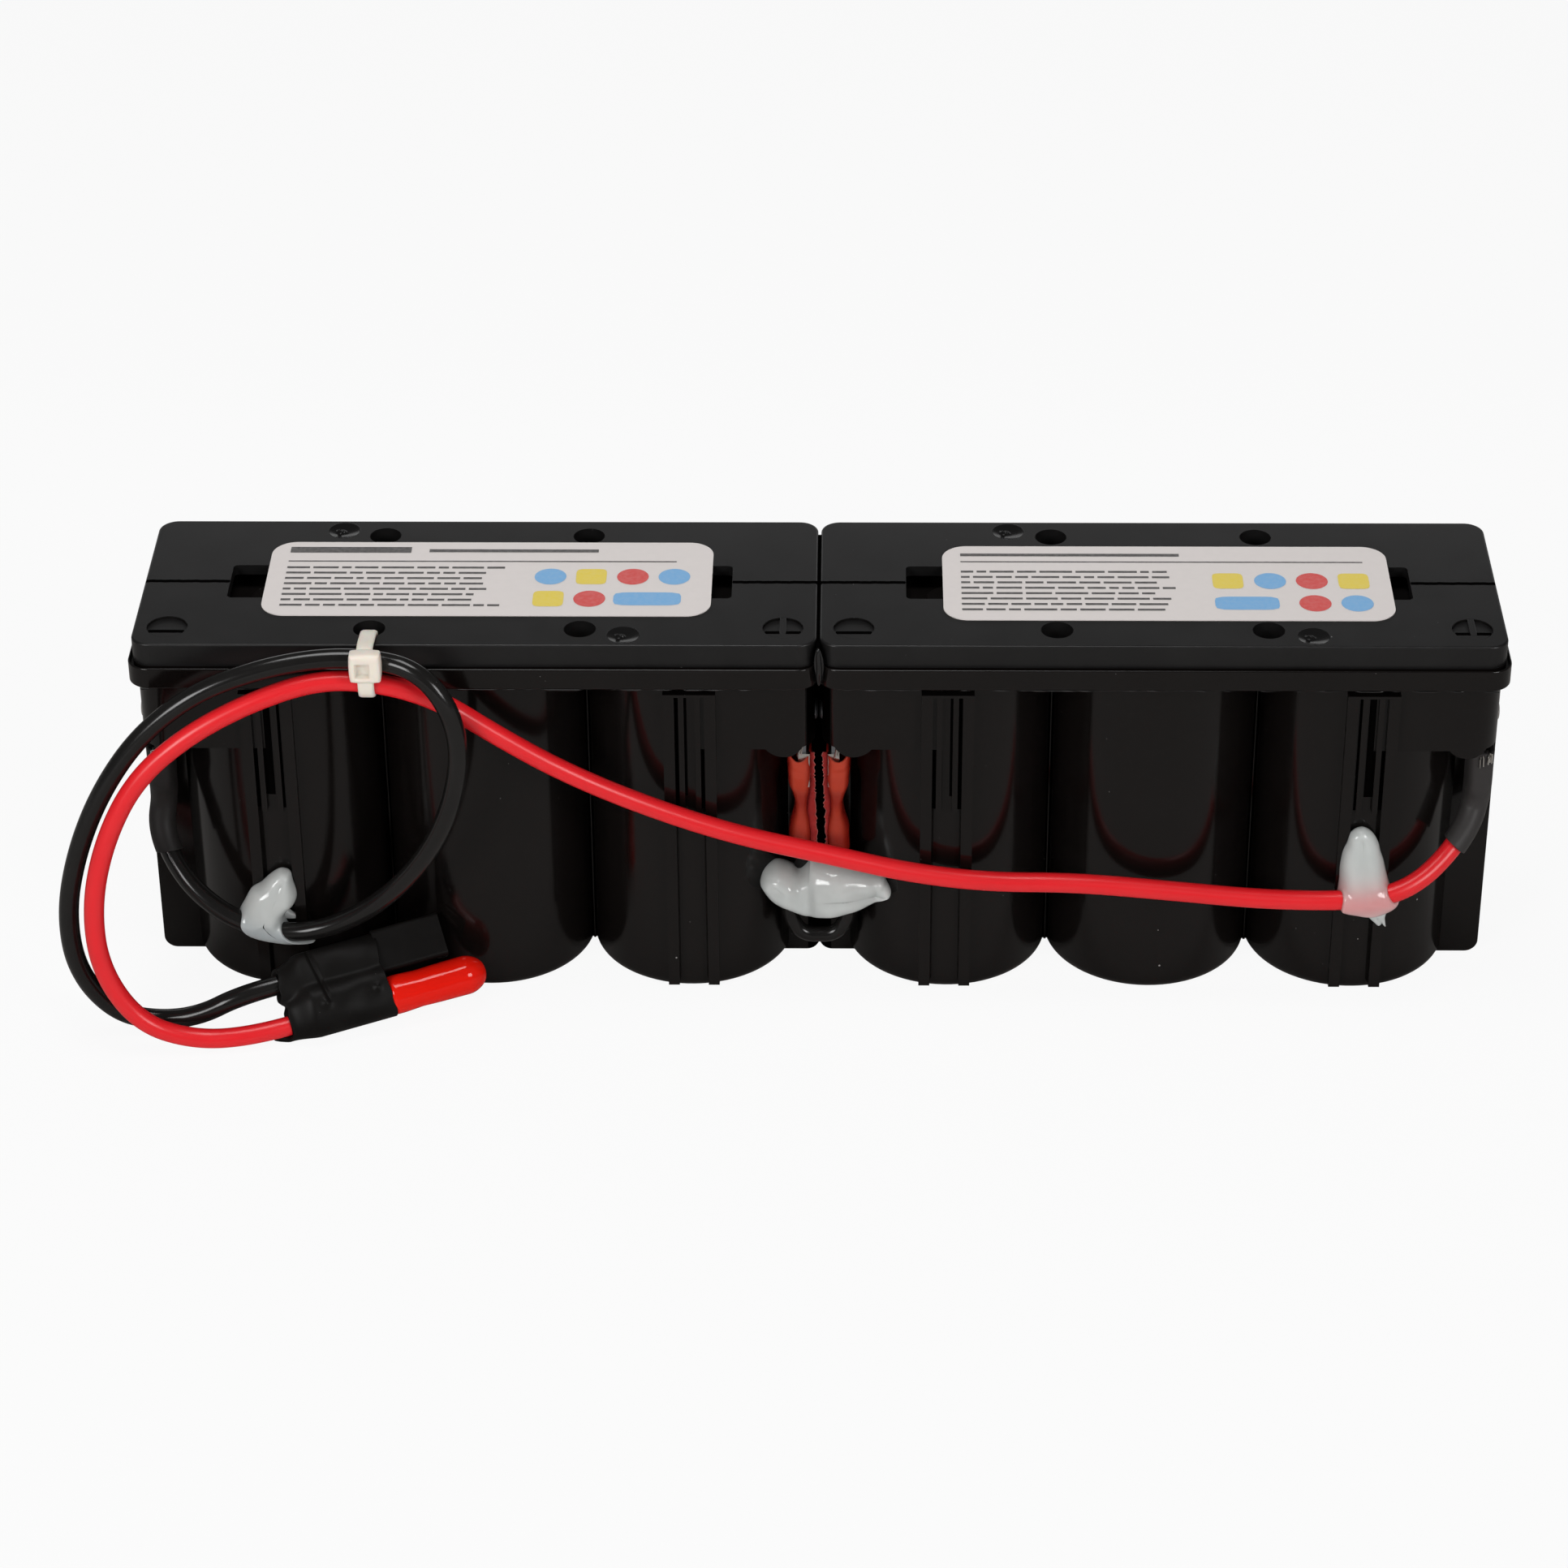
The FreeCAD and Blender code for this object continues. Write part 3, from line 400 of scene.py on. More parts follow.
def makeCard(look):
    # dark card on the floor round the pack; only reflections show it
    mat = newMaterial("darkCard", **{"Base Color": look["colour"], "Roughness": look["rough"]})[0]
    mesh = flatSheet("darkCard", look["width"], look["depth"], look["height"])
    card = linkPiece("darkCard", mesh, mat, body=None, smooth=False)
    card.visible_camera = card.visible_diffuse = card.visible_shadow = False
    card.visible_transmission = card.visible_volume_scatter = False


worldLook = {"colour": (1.0, 1.0, 1.0, 1), "strength": 0.11}


def makeWorld(look):
    world = bpy.data.worlds.new("studio")
    world.use_nodes = True
    back = world.node_tree.nodes["Background"]
    back.inputs["Color"].default_value = look["colour"]
    back.inputs["Strength"].default_value = look["strength"]
    scene.world = world


lampLooks = {
    "overhead": {"place": (-60, -60, 760), "aim": (0, 0, 40), "size": (360, 220), "watts": 2.1},
    "leftBox": {"place": (-480, -640, 420), "aim": (-30, 0, 40), "size": (300, 300), "watts": 3.4},
    "rightBox": {"place": (520, -620, 430), "aim": (30, 0, 40), "size": (300, 300), "watts": 3.0},
    "rearStrip": {"place": (0, 190, 108), "aim": (0, 20, 69), "size": (460, 50), "watts": 0.085},
}


def makeLamp(name, look):
    data = bpy.data.lights.new(name, "AREA")
    data.shape = "RECTANGLE"
    data.size, data.size_y = look["size"][0] * mm, look["size"][1] * mm
    data.energy = look["watts"]
    lamp = bpy.data.objects.new(name, data)
    place = Vector(look["place"]) * mm
    toward = Vector(look["aim"]) * mm - place
    turn = toward.to_track_quat("-Z", "Y").to_matrix().to_4x4()
    lamp.matrix_world = Matrix.Translation(place) @ turn
    scene.collection.objects.link(lamp)


makeFloor(floorLook)
makeCard(cardLook)
makeWorld(worldLook)
for lampName, lampLook in lampLooks.items():
    makeLamp(lampName, lampLook)
print("camera, floor and lamps set")


# Finishes

casePlastic = {"colour": (0.0036, 0.0027, 0.0024, 1), "dust": (0.26, 0.25, 0.24, 1),
               "shadeReach": 2.1, "shadeTop": 61.2}
lidPlastic = {"colour": (0.0060, 0.0057, 0.0057, 1), "dust": (0.32, 0.31, 0.31, 1),
              "shadeReach": 0.27, "shadeTop": 80.0}
# painted shade where the blocks meet: its dark colour, how sharply it starts, and how much duller
# it makes the surface
joinShadeLook = {"shade": (0.0012, 0.0010, 0.0009, 1), "sharpness": 4000.0, "dullness": 0.6}
caseFinishes = {
    "mouldedCase": dict(
        casePlastic, specular=0.30, specks={"Scale": 210.0, "Size": 0.050, "Haze": 0.008},
        skin={"Rough": 0.14, "Spread": 0.08, "Wave": 60.0, "Grain": 2400.0}),
    "mouldedLid": dict(
        lidPlastic, specular=0.30, specks={"Scale": 230.0, "Size": 0.060, "Haze": 0.02},
        skin={"Rough": 0.34, "Spread": 0.12, "Wave": 40.0, "Grain": 3000.0}),
    "gateScar": dict(
        lidPlastic, specular=0.13, specks={"Scale": 300.0, "Size": 0.05, "Haze": 0.01},
        skin={"Rough": 0.20, "Spread": 0.10, "Wave": 300.0, "Grain": 2000.0}),
    "innerPlate": dict(
        casePlastic, specular=0.06, specks={"Scale": 200.0, "Size": 0.06, "Haze": 0.02},
        skin={"Rough": 0.55, "Spread": 0.1, "Wave": 50.0, "Grain": 2000.0}),
}


def makeCaseMaterial(name, look):
    # moulded plastic with settled dust; within a reach of the plane where the blocks meet, and
    # below a
    # top level, shade is painted in: dark, dull, and a metal of that colour, which gives back next
    # to nothing
    mat, tree, shader = newMaterial(name, **{"Specular IOR Level": look["specular"]})
    vector = objectVector(tree)
    split = tree.nodes.new("ShaderNodeSeparateXYZ")
    tree.links.new(vector, split.inputs[0])
    aside = mathNode(tree, "ABSOLUTE", split.outputs["X"])
    inside = mathNode(tree, "SUBTRACT", look["shadeReach"] * mm, aside)
    below = mathNode(tree, "SUBTRACT", look["shadeTop"] * mm, split.outputs["Z"])
    join = mathNode(tree, "MINIMUM", inside, below)
    join = mathNode(tree, "MULTIPLY", join, joinShadeLook["sharpness"], clamp=True)
    skin = placeGroup(tree, mouldGroup, vector, look["skin"])
    dust = placeGroup(tree, dustGroup, vector, look["specks"])
    base = mixColour(tree, dust["Mask"], look["colour"], look["dust"])
    linkColour(tree, shader, mixColour(tree, join, base, joinShadeLook["shade"]))
    tree.links.new(join, shader.inputs["Metallic"])
    dull = mathNode(tree, "MAXIMUM", dust["Mask"], join)
    dull = mathNode(tree, "MULTIPLY", dull, joinShadeLook["dullness"])
    rough = mathNode(tree, "ADD", skin["Roughness"], dull, clamp=True)
    tree.links.new(rough, shader.inputs["Roughness"])
    addBump(tree, shader, skin["Height"], 0.12, 0.05)
    return mat


metalFinishes = {
    "tinPlate": {"colour": (0.80, 0.78, 0.74), "rough": 0.12},
    "castLead": {"colour": (0.42, 0.43, 0.45), "rough": 0.45},
    "woundElement": {"colour": (0.30, 0.31, 0.33), "rough": 0.6},
}


def makeMetalMaterial(name, look):
    # tarnish darkens the metal to about half of its colour and roughens it
    mat, tree, shader = newMaterial(name, Metallic=1.0)
    tarnish = noiseNode(tree, objectVector(tree), 500.0, 4.0, 0.6)
    dark = tuple(0.55 * channel for channel in look["colour"])
    linkColour(tree, shader, mixColour(tree, tarnish, look["colour"] + (1,), dark + (1,)))
    linkRoughness(tree, shader, tarnish, 0.2, look["rough"])
    addBump(tree, shader, tarnish, 0.15, 0.05)
    return mat


skinFinishes = {
    "redInsulation": {
        "colour": (0.73, 0.012, 0.018, 1), "worn": (0.66, 0.010, 0.015, 1),
        "dust": (0.80, 0.20, 0.20, 1), "rough": 0.30, "specular": 0.40, "speck": 0.05},
    "blackInsulation": {
        "colour": (0.0048, 0.0044, 0.0042, 1), "worn": (0.0072, 0.0066, 0.0062, 1),
        "dust": (0.25, 0.24, 0.23, 1), "rough": 0.18, "specular": 0.34, "speck": 0.06},
    "shrunkTubing": {
        "colour": (0.026, 0.0235, 0.023, 1), "worn": (0.034, 0.031, 0.030, 1),
        "dust": (0.28, 0.27, 0.26, 1), "rough": 0.50, "specular": 0.26, "speck": 0.06},
    # painted shade: a darker copy of the shrunk tubing, for the tube on the black lead, which lies
    # in shade
    "shrunkTubingPaintedShade": {
        "colour": (0.0125, 0.0110, 0.0106, 1), "worn": (0.0170, 0.0152, 0.0147, 1),
        "dust": (0.20, 0.19, 0.18, 1), "rough": 0.50, "specular": 0.20, "speck": 0.05},
    "plugWrap": {
        "colour": (0.0030, 0.0026, 0.0024, 1), "worn": (0.0046, 0.0041, 0.0038, 1),
        "dust": (0.26, 0.25, 0.24, 1), "rough": 0.42, "specular": 0.08, "speck": 0.07},
    "adhesive": {
        "colour": (0.004, 0.004, 0.004, 1), "worn": (0.006, 0.006, 0.006, 1),
        "dust": (0.2, 0.2, 0.2, 1), "rough": 0.10, "specular": 0.5, "speck": 0.03},
    "dippedCap": {
        "colour": (0.73, 0.009, 0.003, 1), "worn": (0.67, 0.007, 0.002, 1),
        "dust": (0.80, 0.20, 0.15, 1), "rough": 0.06, "specular": 0.28, "speck": 0.03},
}


def makeSkinMaterial(name, look):
    # soft plastic that is worn in patches and a little dusty
    mat, tree, shader = newMaterial(name, **{"Specular IOR Level": look["specular"]})
    vector = objectVector(tree)
    skin = placeGroup(tree, mouldGroup, vector,
                      {"Rough": look["rough"], "Spread": 0.12, "Wave": 260.0, "Grain": 2200.0})
    dust = placeGroup(tree, dustGroup, vector,
                      {"Scale": 330.0, "Size": look["speck"], "Haze": 0.03})
    patches = noiseNode(tree, vector, 120.0, 4.0, 0.6)
    base = mixColour(tree, patches, look["colour"], look["worn"])
    linkColour(tree, shader, mixColour(tree, dust["Mask"], base, look["dust"]))
    tree.links.new(skin["Roughness"], shader.inputs["Roughness"])
    addBump(tree, shader, skin["Height"], 0.04, 0.06)
    return mat


def makeGapMaterial(name):
    # the dark of a gap or groove too narrow to light: no gloss, and only a little unevenness
    mat, tree, shader = newMaterial(name, **{"Specular IOR Level": 0.0, "Roughness": 0.9})
    patches = noiseNode(tree, objectVector(tree), 700.0, 3.0, 0.6)
    linkColour(tree, shader, mixColour(tree, patches, (0.0006, 0.0005, 0.0005, 1),
                                       (0.0022, 0.0020, 0.0019, 1)))
    return mat


def makeSleeveMaterial(name):
    # thin red film: pale in the middle, deep at the sides as painted shade, and paler or deeper by
    # level
    mat, tree, shader = newMaterial(
        name, **{"Specular IOR Level": 0.3, "IOR": 1.35, "Transmission Weight": 0.12})
    clouds = noiseNode(tree, objectVector(tree), 420.0, 4.0, 0.6)
    film = mixColour(tree, attributeValue(tree, "toneAndShade"),
                     (0.23, 0.009, 0.005, 1), (0.49, 0.056, 0.027, 1))
    cloudy = mathNode(tree, "MULTIPLY", clouds, 0.35)
    linkColour(tree, shader, mixColour(tree, cloudy, film, (0.22, 0.012, 0.008, 1)))
    linkRoughness(tree, shader, clouds, 0.15, 0.14)
    addBump(tree, shader, clouds, 0.06, 0.1)
    return mat


def makeSeamMaterial(name):
    # the welded seam of a sleeve: deep red, with a paler torn edge
    mat, tree, shader = newMaterial(name, **{"Specular IOR Level": 0.15, "Roughness": 0.5})
    clouds = noiseNode(tree, objectVector(tree), 900.0, 3.0, 0.6)
    film = mixColour(tree, clouds, (0.24, 0.013, 0.012, 1), (0.30, 0.022, 0.020, 1))
    edge = attributeValue(tree, "edge")
    linkColour(tree, shader, mixColour(tree, edge, film, (0.52, 0.20, 0.18, 1)))
    return mat


glueUnder = {"hotGlue": (0.33, 0.36, 0.37, 1), "hotGlueOverRed": (0.62, 0.25, 0.25, 1)}


def makeGlueMaterial(name, under):
    # milky glue that takes the colour of a lead where it is thin over it
    mat, tree, shader = newMaterial(name, **{
        "Specular IOR Level": 0.5, "Subsurface Weight": 0.7, "Subsurface Scale": 0.003,
        "Subsurface Radius": (1.0, 1.0, 1.0)})
    vector = objectVector(tree)
    clouds = noiseNode(tree, vector, 160.0, 4.0, 0.55)
    milk = mixColour(tree, clouds, (0.42, 0.44, 0.43, 1), (0.54, 0.555, 0.54, 1))
    tint = mathNode(tree, "MULTIPLY", attributeValue(tree, "blush"), 0.85)
    linkColour(tree, shader, mixColour(tree, tint, milk, under))
    linkRoughness(tree, shader, clouds, 0.12, 0.06)
    addBump(tree, shader, noiseNode(tree, vector, 200.0, 1.0, 0.3), 0.05, 0.25)
    return mat


def makeInkMaterial(name):
    # printed colour, worn through to the film in fine spots
    mat, tree, shader = newMaterial(name, **{"Specular IOR Level": 0.35, "Roughness": 0.45})
    wear = mathNode(tree, "MULTIPLY", noiseNode(tree, objectVector(tree), 1500.0, 2.0, 0.5), 0.22)
    ink = attributeValue(tree, "ink", "Color")
    linkColour(tree, shader, mixColour(tree, wear, ink, (0.70, 0.67, 0.66, 1)))
    return mat


def makeTieMaterial(name):
    # cloudy nylon that lets a little light in
    mat, tree, shader = newMaterial(name, **{
        "Specular IOR Level": 0.4, "Subsurface Weight": 0.3, "Subsurface Scale": 0.002})
    clouds = noiseNode(tree, objectVector(tree), 300.0, 3.0, 0.5)
    linkColour(tree, shader, mixColour(tree, clouds, (0.79, 0.725, 0.64, 1),
                                       (0.73, 0.665, 0.58, 1)))
    linkRoughness(tree, shader, clouds, 0.15, 0.32)
    return mat


def makeLabelMaterial(name):
    # pale film with a faint tooth, and dust
    mat, tree, shader = newMaterial(name, **{"Specular IOR Level": 0.35})
    vector = objectVector(tree)
    tooth = noiseNode(tree, vector, 700.0, 3.0, 0.5)
    dust = placeGroup(tree, dustGroup, vector, {"Scale": 240.0, "Size": 0.03, "Haze": 0.02})
    base = mixColour(tree, tooth, (0.755, 0.705, 0.685, 1), (0.715, 0.67, 0.65, 1))
    linkColour(tree, shader, mixColour(tree, dust["Mask"], base, (0.55, 0.53, 0.51, 1)))
    linkRoughness(tree, shader, tooth, 0.2, 0.35)
    return mat


finish = {}
for makeFinish, looks in ((makeCaseMaterial, caseFinishes), (makeMetalMaterial, metalFinishes),
                          (makeSkinMaterial, skinFinishes), (makeGlueMaterial, glueUnder)):
    for finishName, finishLook in looks.items():
        finish[finishName] = makeFinish(finishName, finishLook)
for finishName, makeFinish in {
        "darkGap": makeGapMaterial, "redSleeve": makeSleeveMaterial, "sleeveSeam": makeSeamMaterial,
        "labelInk": makeInkMaterial, "ivoryNylon": makeTieMaterial,
        "labelFilm": makeLabelMaterial}.items():
    finish[finishName] = makeFinish(finishName)

# painted shade: the middle terminals face each other in the dark gap, and take the darker, duller
# lead finish in place of tin
dressing = {
    "mouldedCase": ["left_container", "right_container", "seam_bead"],
    "mouldedLid": ["left_lid", "right_lid"],
    "labelFilm": ["left_label", "right_label"],
    "innerPlate": ["left_inner_cover", "right_inner_cover"]
    + ["relief_valve_%d" % n for n in range(1, 7)],
    "woundElement": ["cell_%d" % n for n in range(1, 7)],
    "castLead": ["strap_1_2", "strap_2_3", "strap_4_5", "strap_5_6", "terminal_2", "terminal_3"],
    "tinPlate": ["terminal_1", "terminal_4", "plug_pin", "plug_receptacle"]
    + ["receptacle_%d" % n for n in range(1, 5)],
    "blackInsulation": ["link_wire"],
    "redSleeve": ["left_sleeve", "right_sleeve"],
    "shrunkTubing": ["red_shrink"],
    "shrunkTubingPaintedShade": ["black_shrink"],
    "plugWrap": ["plug_sleeve", "plug_housing"],
    "dippedCap": ["plug_cap"],
    "ivoryNylon": ["cable_tie"],
    "hotGlue": ["left_glue", "middle_glue", "right_glue"],
}
for finishName, nodeNames in dressing.items():
    for nodeName in nodeNames:
        slots = cadNodes[nodeName].data.materials
        slots.clear()
        slots.append(finish[finishName])
print("finishes placed")


# Leads

redRoute = {
    "points": [
        (108.65, -9.80, 36.90), (108.65, -9.80, 33.70), (107.26, -12.21, 30.10),
        (103.86, -15.21, 26.11), (98.80, -18.90, 22.91), (92.90, -20.50, 20.98),
        (84.00, -20.30, 20.22), (72.00, -20.40, 20.70), (57.00, -20.20, 22.22),
        (41.99, -20.20, 23.70), (28.00, -20.20, 23.70), (15.00, -20.20, 25.50),
        (1.01, -20.20, 29.19), (-13.99, -20.20, 32.98), (-29.00, -20.20, 38.78),
        (-41.99, -21.00, 45.82), (-52.50, -22.20, 53.61), (-60.50, -23.05, 60.20),
        (-69.50, -23.20, 63.62), (-79.50, -23.90, 64.72), (-90.01, -26.30, 62.20),
        (-100.49, -28.80, 57.41), (-109.41, -30.60, 49.99), (-115.00, -32.60, 39.61),
        (-118.00, -34.00, 27.60), (-117.40, -35.00, 15.59), (-111.81, -35.60, 5.60),
        (-102.99, -35.20, 1.90), (-93.56, -34.54, 2.22), (-87.48, -32.30, 2.80)],
    "diameter": 3.3, "length": 314.0}
blackRoute = {
    "points": [
        (-108.65, -9.80, 36.90), (-108.65, -9.80, 33.70), (-109.44, -11.81, 28.91),
        (-107.46, -14.82, 24.29), (-103.44, -18.12, 19.90), (-97.60, -20.10, 16.01),
        (-90.59, -20.40, 13.32), (-83.19, -20.60, 13.80), (-75.60, -21.60, 18.01),
        (-68.40, -23.20, 24.98), (-62.60, -24.80, 34.02), (-58.81, -26.20, 44.02),
        (-57.40, -27.00, 54.03), (-59.20, -27.20, 62.38), (-64.00, -25.60, 67.62),
        (-71.50, -22.90, 68.00), (-80.00, -23.40, 68.31), (-89.51, -25.20, 67.21),
        (-99.51, -26.90, 63.83), (-108.40, -28.30, 56.99), (-115.20, -29.60, 47.40),
        (-120.00, -30.60, 36.40), (-122.80, -31.20, 24.39), (-122.00, -31.20, 12.63),
        (-116.40, -30.00, 3.65), (-109.16, -29.90, 2.10), (-102.30, -30.50, 3.60),
        (-95.72, -29.99, 7.22), (-89.65, -27.75, 7.80)],
    "diameter": 3.3, "length": 241.0}


def leadCurve(name, route, bevel):
    # a NURBS line of order 3 with the route's points as its control points, first and last on it
    curve = bpy.data.curves.new(name, "CURVE")
    curve.dimensions = "3D"
    spline = curve.splines.new("NURBS")
    spline.points.add(len(route["points"]) - 1)
    places = np.ones((len(route["points"]), 4))
    places[:, :3] = np.array(route["points"]) * mm
    spline.points.foreach_set("co", places.ravel())
    spline.order_u = 3
    spline.use_endpoint_u = True
    spline.resolution_u = 10
    curve.bevel_depth = route["diameter"] / 2 * mm if bevel else 0.0
    curve.bevel_resolution = 7
    curve.use_fill_caps = bevel
    return curve


def leadLine(name, route):
    # points along the lead's own NURBS line
    holder = bpy.data.objects.new(name + "Line", leadCurve(name + "Line", route, False))
    scene.collection.objects.link(holder)
    mesh = bpy.data.meshes.new_from_object(holder)
    line = readPoints(mesh)
    bpy.data.objects.remove(holder)
    bpy.data.meshes.remove(mesh)
    return line


def makeLead(name, route, material, node):
    curve = leadCurve(name, route, True)
    curve.materials.append(material)
    piece = bpy.data.objects.new(name, curve)
    scene.collection.objects.link(piece)
    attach(piece, "root")
    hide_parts(node)
    return piece


redLead = makeLead("redLead", redRoute, finish["redInsulation"], "red_lead")
blackLead = makeLead("blackLead", blackRoute, finish["blackInsulation"], "black_lead")
leadLines = {"red": leadLine("redLead", redRoute), "black": leadLine("blackLead", blackRoute)}
print("leads laid")


# Shrunk tubing over the outer contacts

shrinkLook = {
    "top": 44.5, "flat": (2.15, 3.6), "round": 2.22, "flatTo": 6.0, "roundFrom": 12.5,
    "wrinkle": 0.012, "ripple": 0.006, "rim": 0.84, "hollow": 2.4, "closing": 0.70,
    "tubes": {
        "redShrink": {"node": "red_shrink", "lead": "red", "finish": "shrunkTubing",
                      "reach": 19.0, "cut": 0.8, "cutTurn": 1.2, "phase": 0.4},
        "blackShrink": {"node": "black_shrink", "lead": "black", "finish": "shrunkTubingPaintedShade",
                        "reach": 20.2, "cut": 0.7, "cutTurn": 0.5, "phase": 2.1}},
}


def makeShrink(name, look, tube):
    # a superellipse carried down over the contact and along the lead: flat on the contact and round
    # on the lead, with shallow wrinkles where it changes, a hollow top and a slanting lower end
    line = leadLines[tube["lead"]]
    drop = np.linspace(look["top"], line[0, 2], 12, endpoint=False)
    path = np.concatenate([np.column_stack([np.tile(line[0, :2], (12, 1)), drop]), line])
    run = np.concatenate([[0.0], np.cumsum(np.linalg.norm(np.diff(path, axis=0), axis=1))])
    turn = fullTurn(56)
    share = np.linspace(0, 1, 90)[:, None]
    along = share * (tube["reach"] + tube["cut"] * np.cos(turn - tube["cutTurn"]))

    def onPath(value):
        return np.stack([np.interp(value, run, path[:, k]) for k in range(3)], axis=-1)

    ahead = unit(onPath(along + 0.6) - onPath(np.maximum(along - 0.6, 0.0)))
    sideways = np.array([1.0, 0.0, 0.0])
    side = unit(sideways - (ahead @ sideways)[..., None] * ahead)
    across = np.cross(ahead, side)
    flat = 1.0 - smoothStep(look["flatTo"], look["roundFrom"], along)
    halfA, halfB = (look["round"] + (half - look["round"]) * flat for half in look["flat"])
    radius = ovalRadius(turn, halfA, halfB, 2.0 + 1.6 * flat)
    change = np.exp(-((along - look["roundFrom"] + 3.0) / 3.0) ** 2)
    wrinkles = np.sin(1.35 * along + 2.0 * turn + tube["phase"])
    ripples = np.sin(0.7 * along + 3.0 * turn + tube["phase"])
    radius *= 1.0 + look["wrinkle"] * change * wrinkles
    radius *= 1.0 + look["ripple"] * ripples
    skin = onPath(along) + side * (radius * np.cos(turn))[..., None]
    skin = skin + across * (radius * np.sin(turn))[..., None]
    rim = drawIn(skin[:1], look["rim"])
    well = rim - np.array([0.0, 0.0, look["hollow"]])
    closing = drawIn(skin[-1:], look["closing"]) - ahead[-1:] * 0.2
    makePiece(name, np.concatenate([well, rim, skin, closing]), finish[tube["finish"]],
              tube["node"])


for tubeName, tubeLook in shrinkLook["tubes"].items():
    makeShrink(tubeName, shrinkLook, tubeLook)


# Red insulating sleeves

sleeveLook = {
    "place": (3.05, -9.8), "wall": 0.35, "notch": 1.6, "notchReach": 5.0, "dimples": (0.016, 0.01),
    "levels": [44.2, 43.6, 40.0, 37.4, 35.6, 34.0, 32.0, 30.2, 28.6, 26.8, 24.6, 23.5],
    "halfX": [1.98, 2.00, 2.00, 1.90, 1.45, 1.10, 1.08, 1.50, 1.88, 1.98, 1.98, 1.96],
    "halfY": [3.70, 3.72, 3.72, 3.60, 3.10, 2.70, 2.62, 2.60, 2.55, 2.45, 2.35, 2.30],
    "lean": [0.20, 0.18, 0.12, 0.05, -0.05, -0.12, -0.14, -0.08, 0.0, 0.05, 0.08, 0.08],
    "power": [3.4, 3.4, 3.4, 3.2, 2.8, 2.5, 2.4, 2.3, 2.2, 2.1, 2.0, 2.0],
    "tones": [0.6, 1.0, 1.0, 1.0, 0.45, 0.35, 0.75, 0.85, 0.75, 0.25, 0.15, 0.15],
    "seamEdges": {-1: (0.77, 0.22), 1: (0.56, 1.15)}, "seamPlace": -2.1, "ragged": 0.16,
    "seeds": {-1: 11, 1: 12},
}


def makeSleeve(name, side, look, node):
    # superellipse sections stacked down the contact; the outer wall turns in at both rims and runs
    # back inside
    placeX, placeY = look["place"]
    low, high = look["levels"][-1], look["levels"][0]
    fine = np.linspace(low, high, 100)
    rising = look["levels"][::-1]
    soften = np.ones(7) / 7
    columns = []
    for key in ("halfX", "halfY", "lean", "power"):
        values = np.pad(np.interp(fine, rising, look[key][::-1]), 3, mode="edge")
        columns.append(np.convolve(values, soften, mode="valid")[:, None])
    halfX, halfY, lean, power = columns
    level = fine[:, None]
    turn = fullTurn(72)[None, :]
    dimple = 1.0 + look["dimples"][0] * np.sin(1.1 * level + 2 * turn + side)
    dimple = dimple + look["dimples"][1] * np.sin(2.3 * level - 3 * turn)
    notch = look["notch"] * np.exp(-((turn - 1.5 * np.pi) / 0.5) ** 2)
    notch = notch * smoothStep(high - look["notchReach"], high, level)

    def wall(inset):
        radius = ovalRadius(turn, halfX - inset, halfY - inset, power) * dimple
        x = side * (placeX + lean + radius * np.cos(turn))
        return np.stack([x, placeY + radius * np.sin(turn), level - notch], axis=-1)

    shell = np.concatenate([wall(0.0), wall(look["wall"])[::-1]])
    piece = makePiece(name, shell, finish["redSleeve"], node, closeRows=True,
                      caps=(False, False))
    points = readPoints(piece.data)
    middle = np.interp(points[:, 2], fine, placeX + lean[:, 0])
    aside = np.abs(side * points[:, 0] - middle) / np.interp(points[:, 2], fine, halfX[:, 0])
    toneAndShade = np.interp(points[:, 2], rising, look["tones"][::-1])
    # painted shade: the tone falls away towards the sides of the sleeve
    paintPoints(piece.data, "toneAndShade", toneAndShade * smoothStep(0.98, 0.45, aside))

    # welded seam: a thin tongue from the sleeve's side to a torn edge that is nearly straight
    rng = np.random.default_rng(look["seeds"][side])
    z = np.linspace(low + 1.2, high - 0.4, 150)
    foot = np.interp(z, fine, placeX + lean[:, 0] - halfX[:, 0] * 0.86)
    jag = np.convolve(rng.normal(size=152), np.ones(3) / 3, mode="valid") * look["ragged"]
    edge = np.interp(z, [low, high], look["seamEdges"][side][::-1]) + jag
    y = placeY + look["seamPlace"] * np.interp(z, fine, halfY[:, 0]) / 3.7 + 0.08 * np.sin(z * 1.7)
    tongue = [np.stack([side * x, y + lift, z], axis=1)
              for x, lift in ((foot, 0.16), (edge + 0.15, 0.09), (edge, 0.0), (edge + 0.15, -0.09),
                              (foot, -0.16))]
    seam = makePiece(name + "Seam", np.stack(tongue, axis=1), finish["sleeveSeam"])
    points = readPoints(seam.data)
    past = np.abs(points[:, 0]) - np.interp(points[:, 2], z, edge)
    paintPoints(seam.data, "edge", smoothStep(0.14, 0.04, past))


makeSleeve("leftSleeve", -1, sleeveLook, "left_sleeve")
makeSleeve("rightSleeve", 1, sleeveLook, "right_sleeve")
print("shrunk tubing and sleeves made")


# Dabs of hot glue: knots are (x, z, place along the spine), the spine is (place, x, z, height), and
# valley is the radius and the place of the round walls that the middle dab lies between

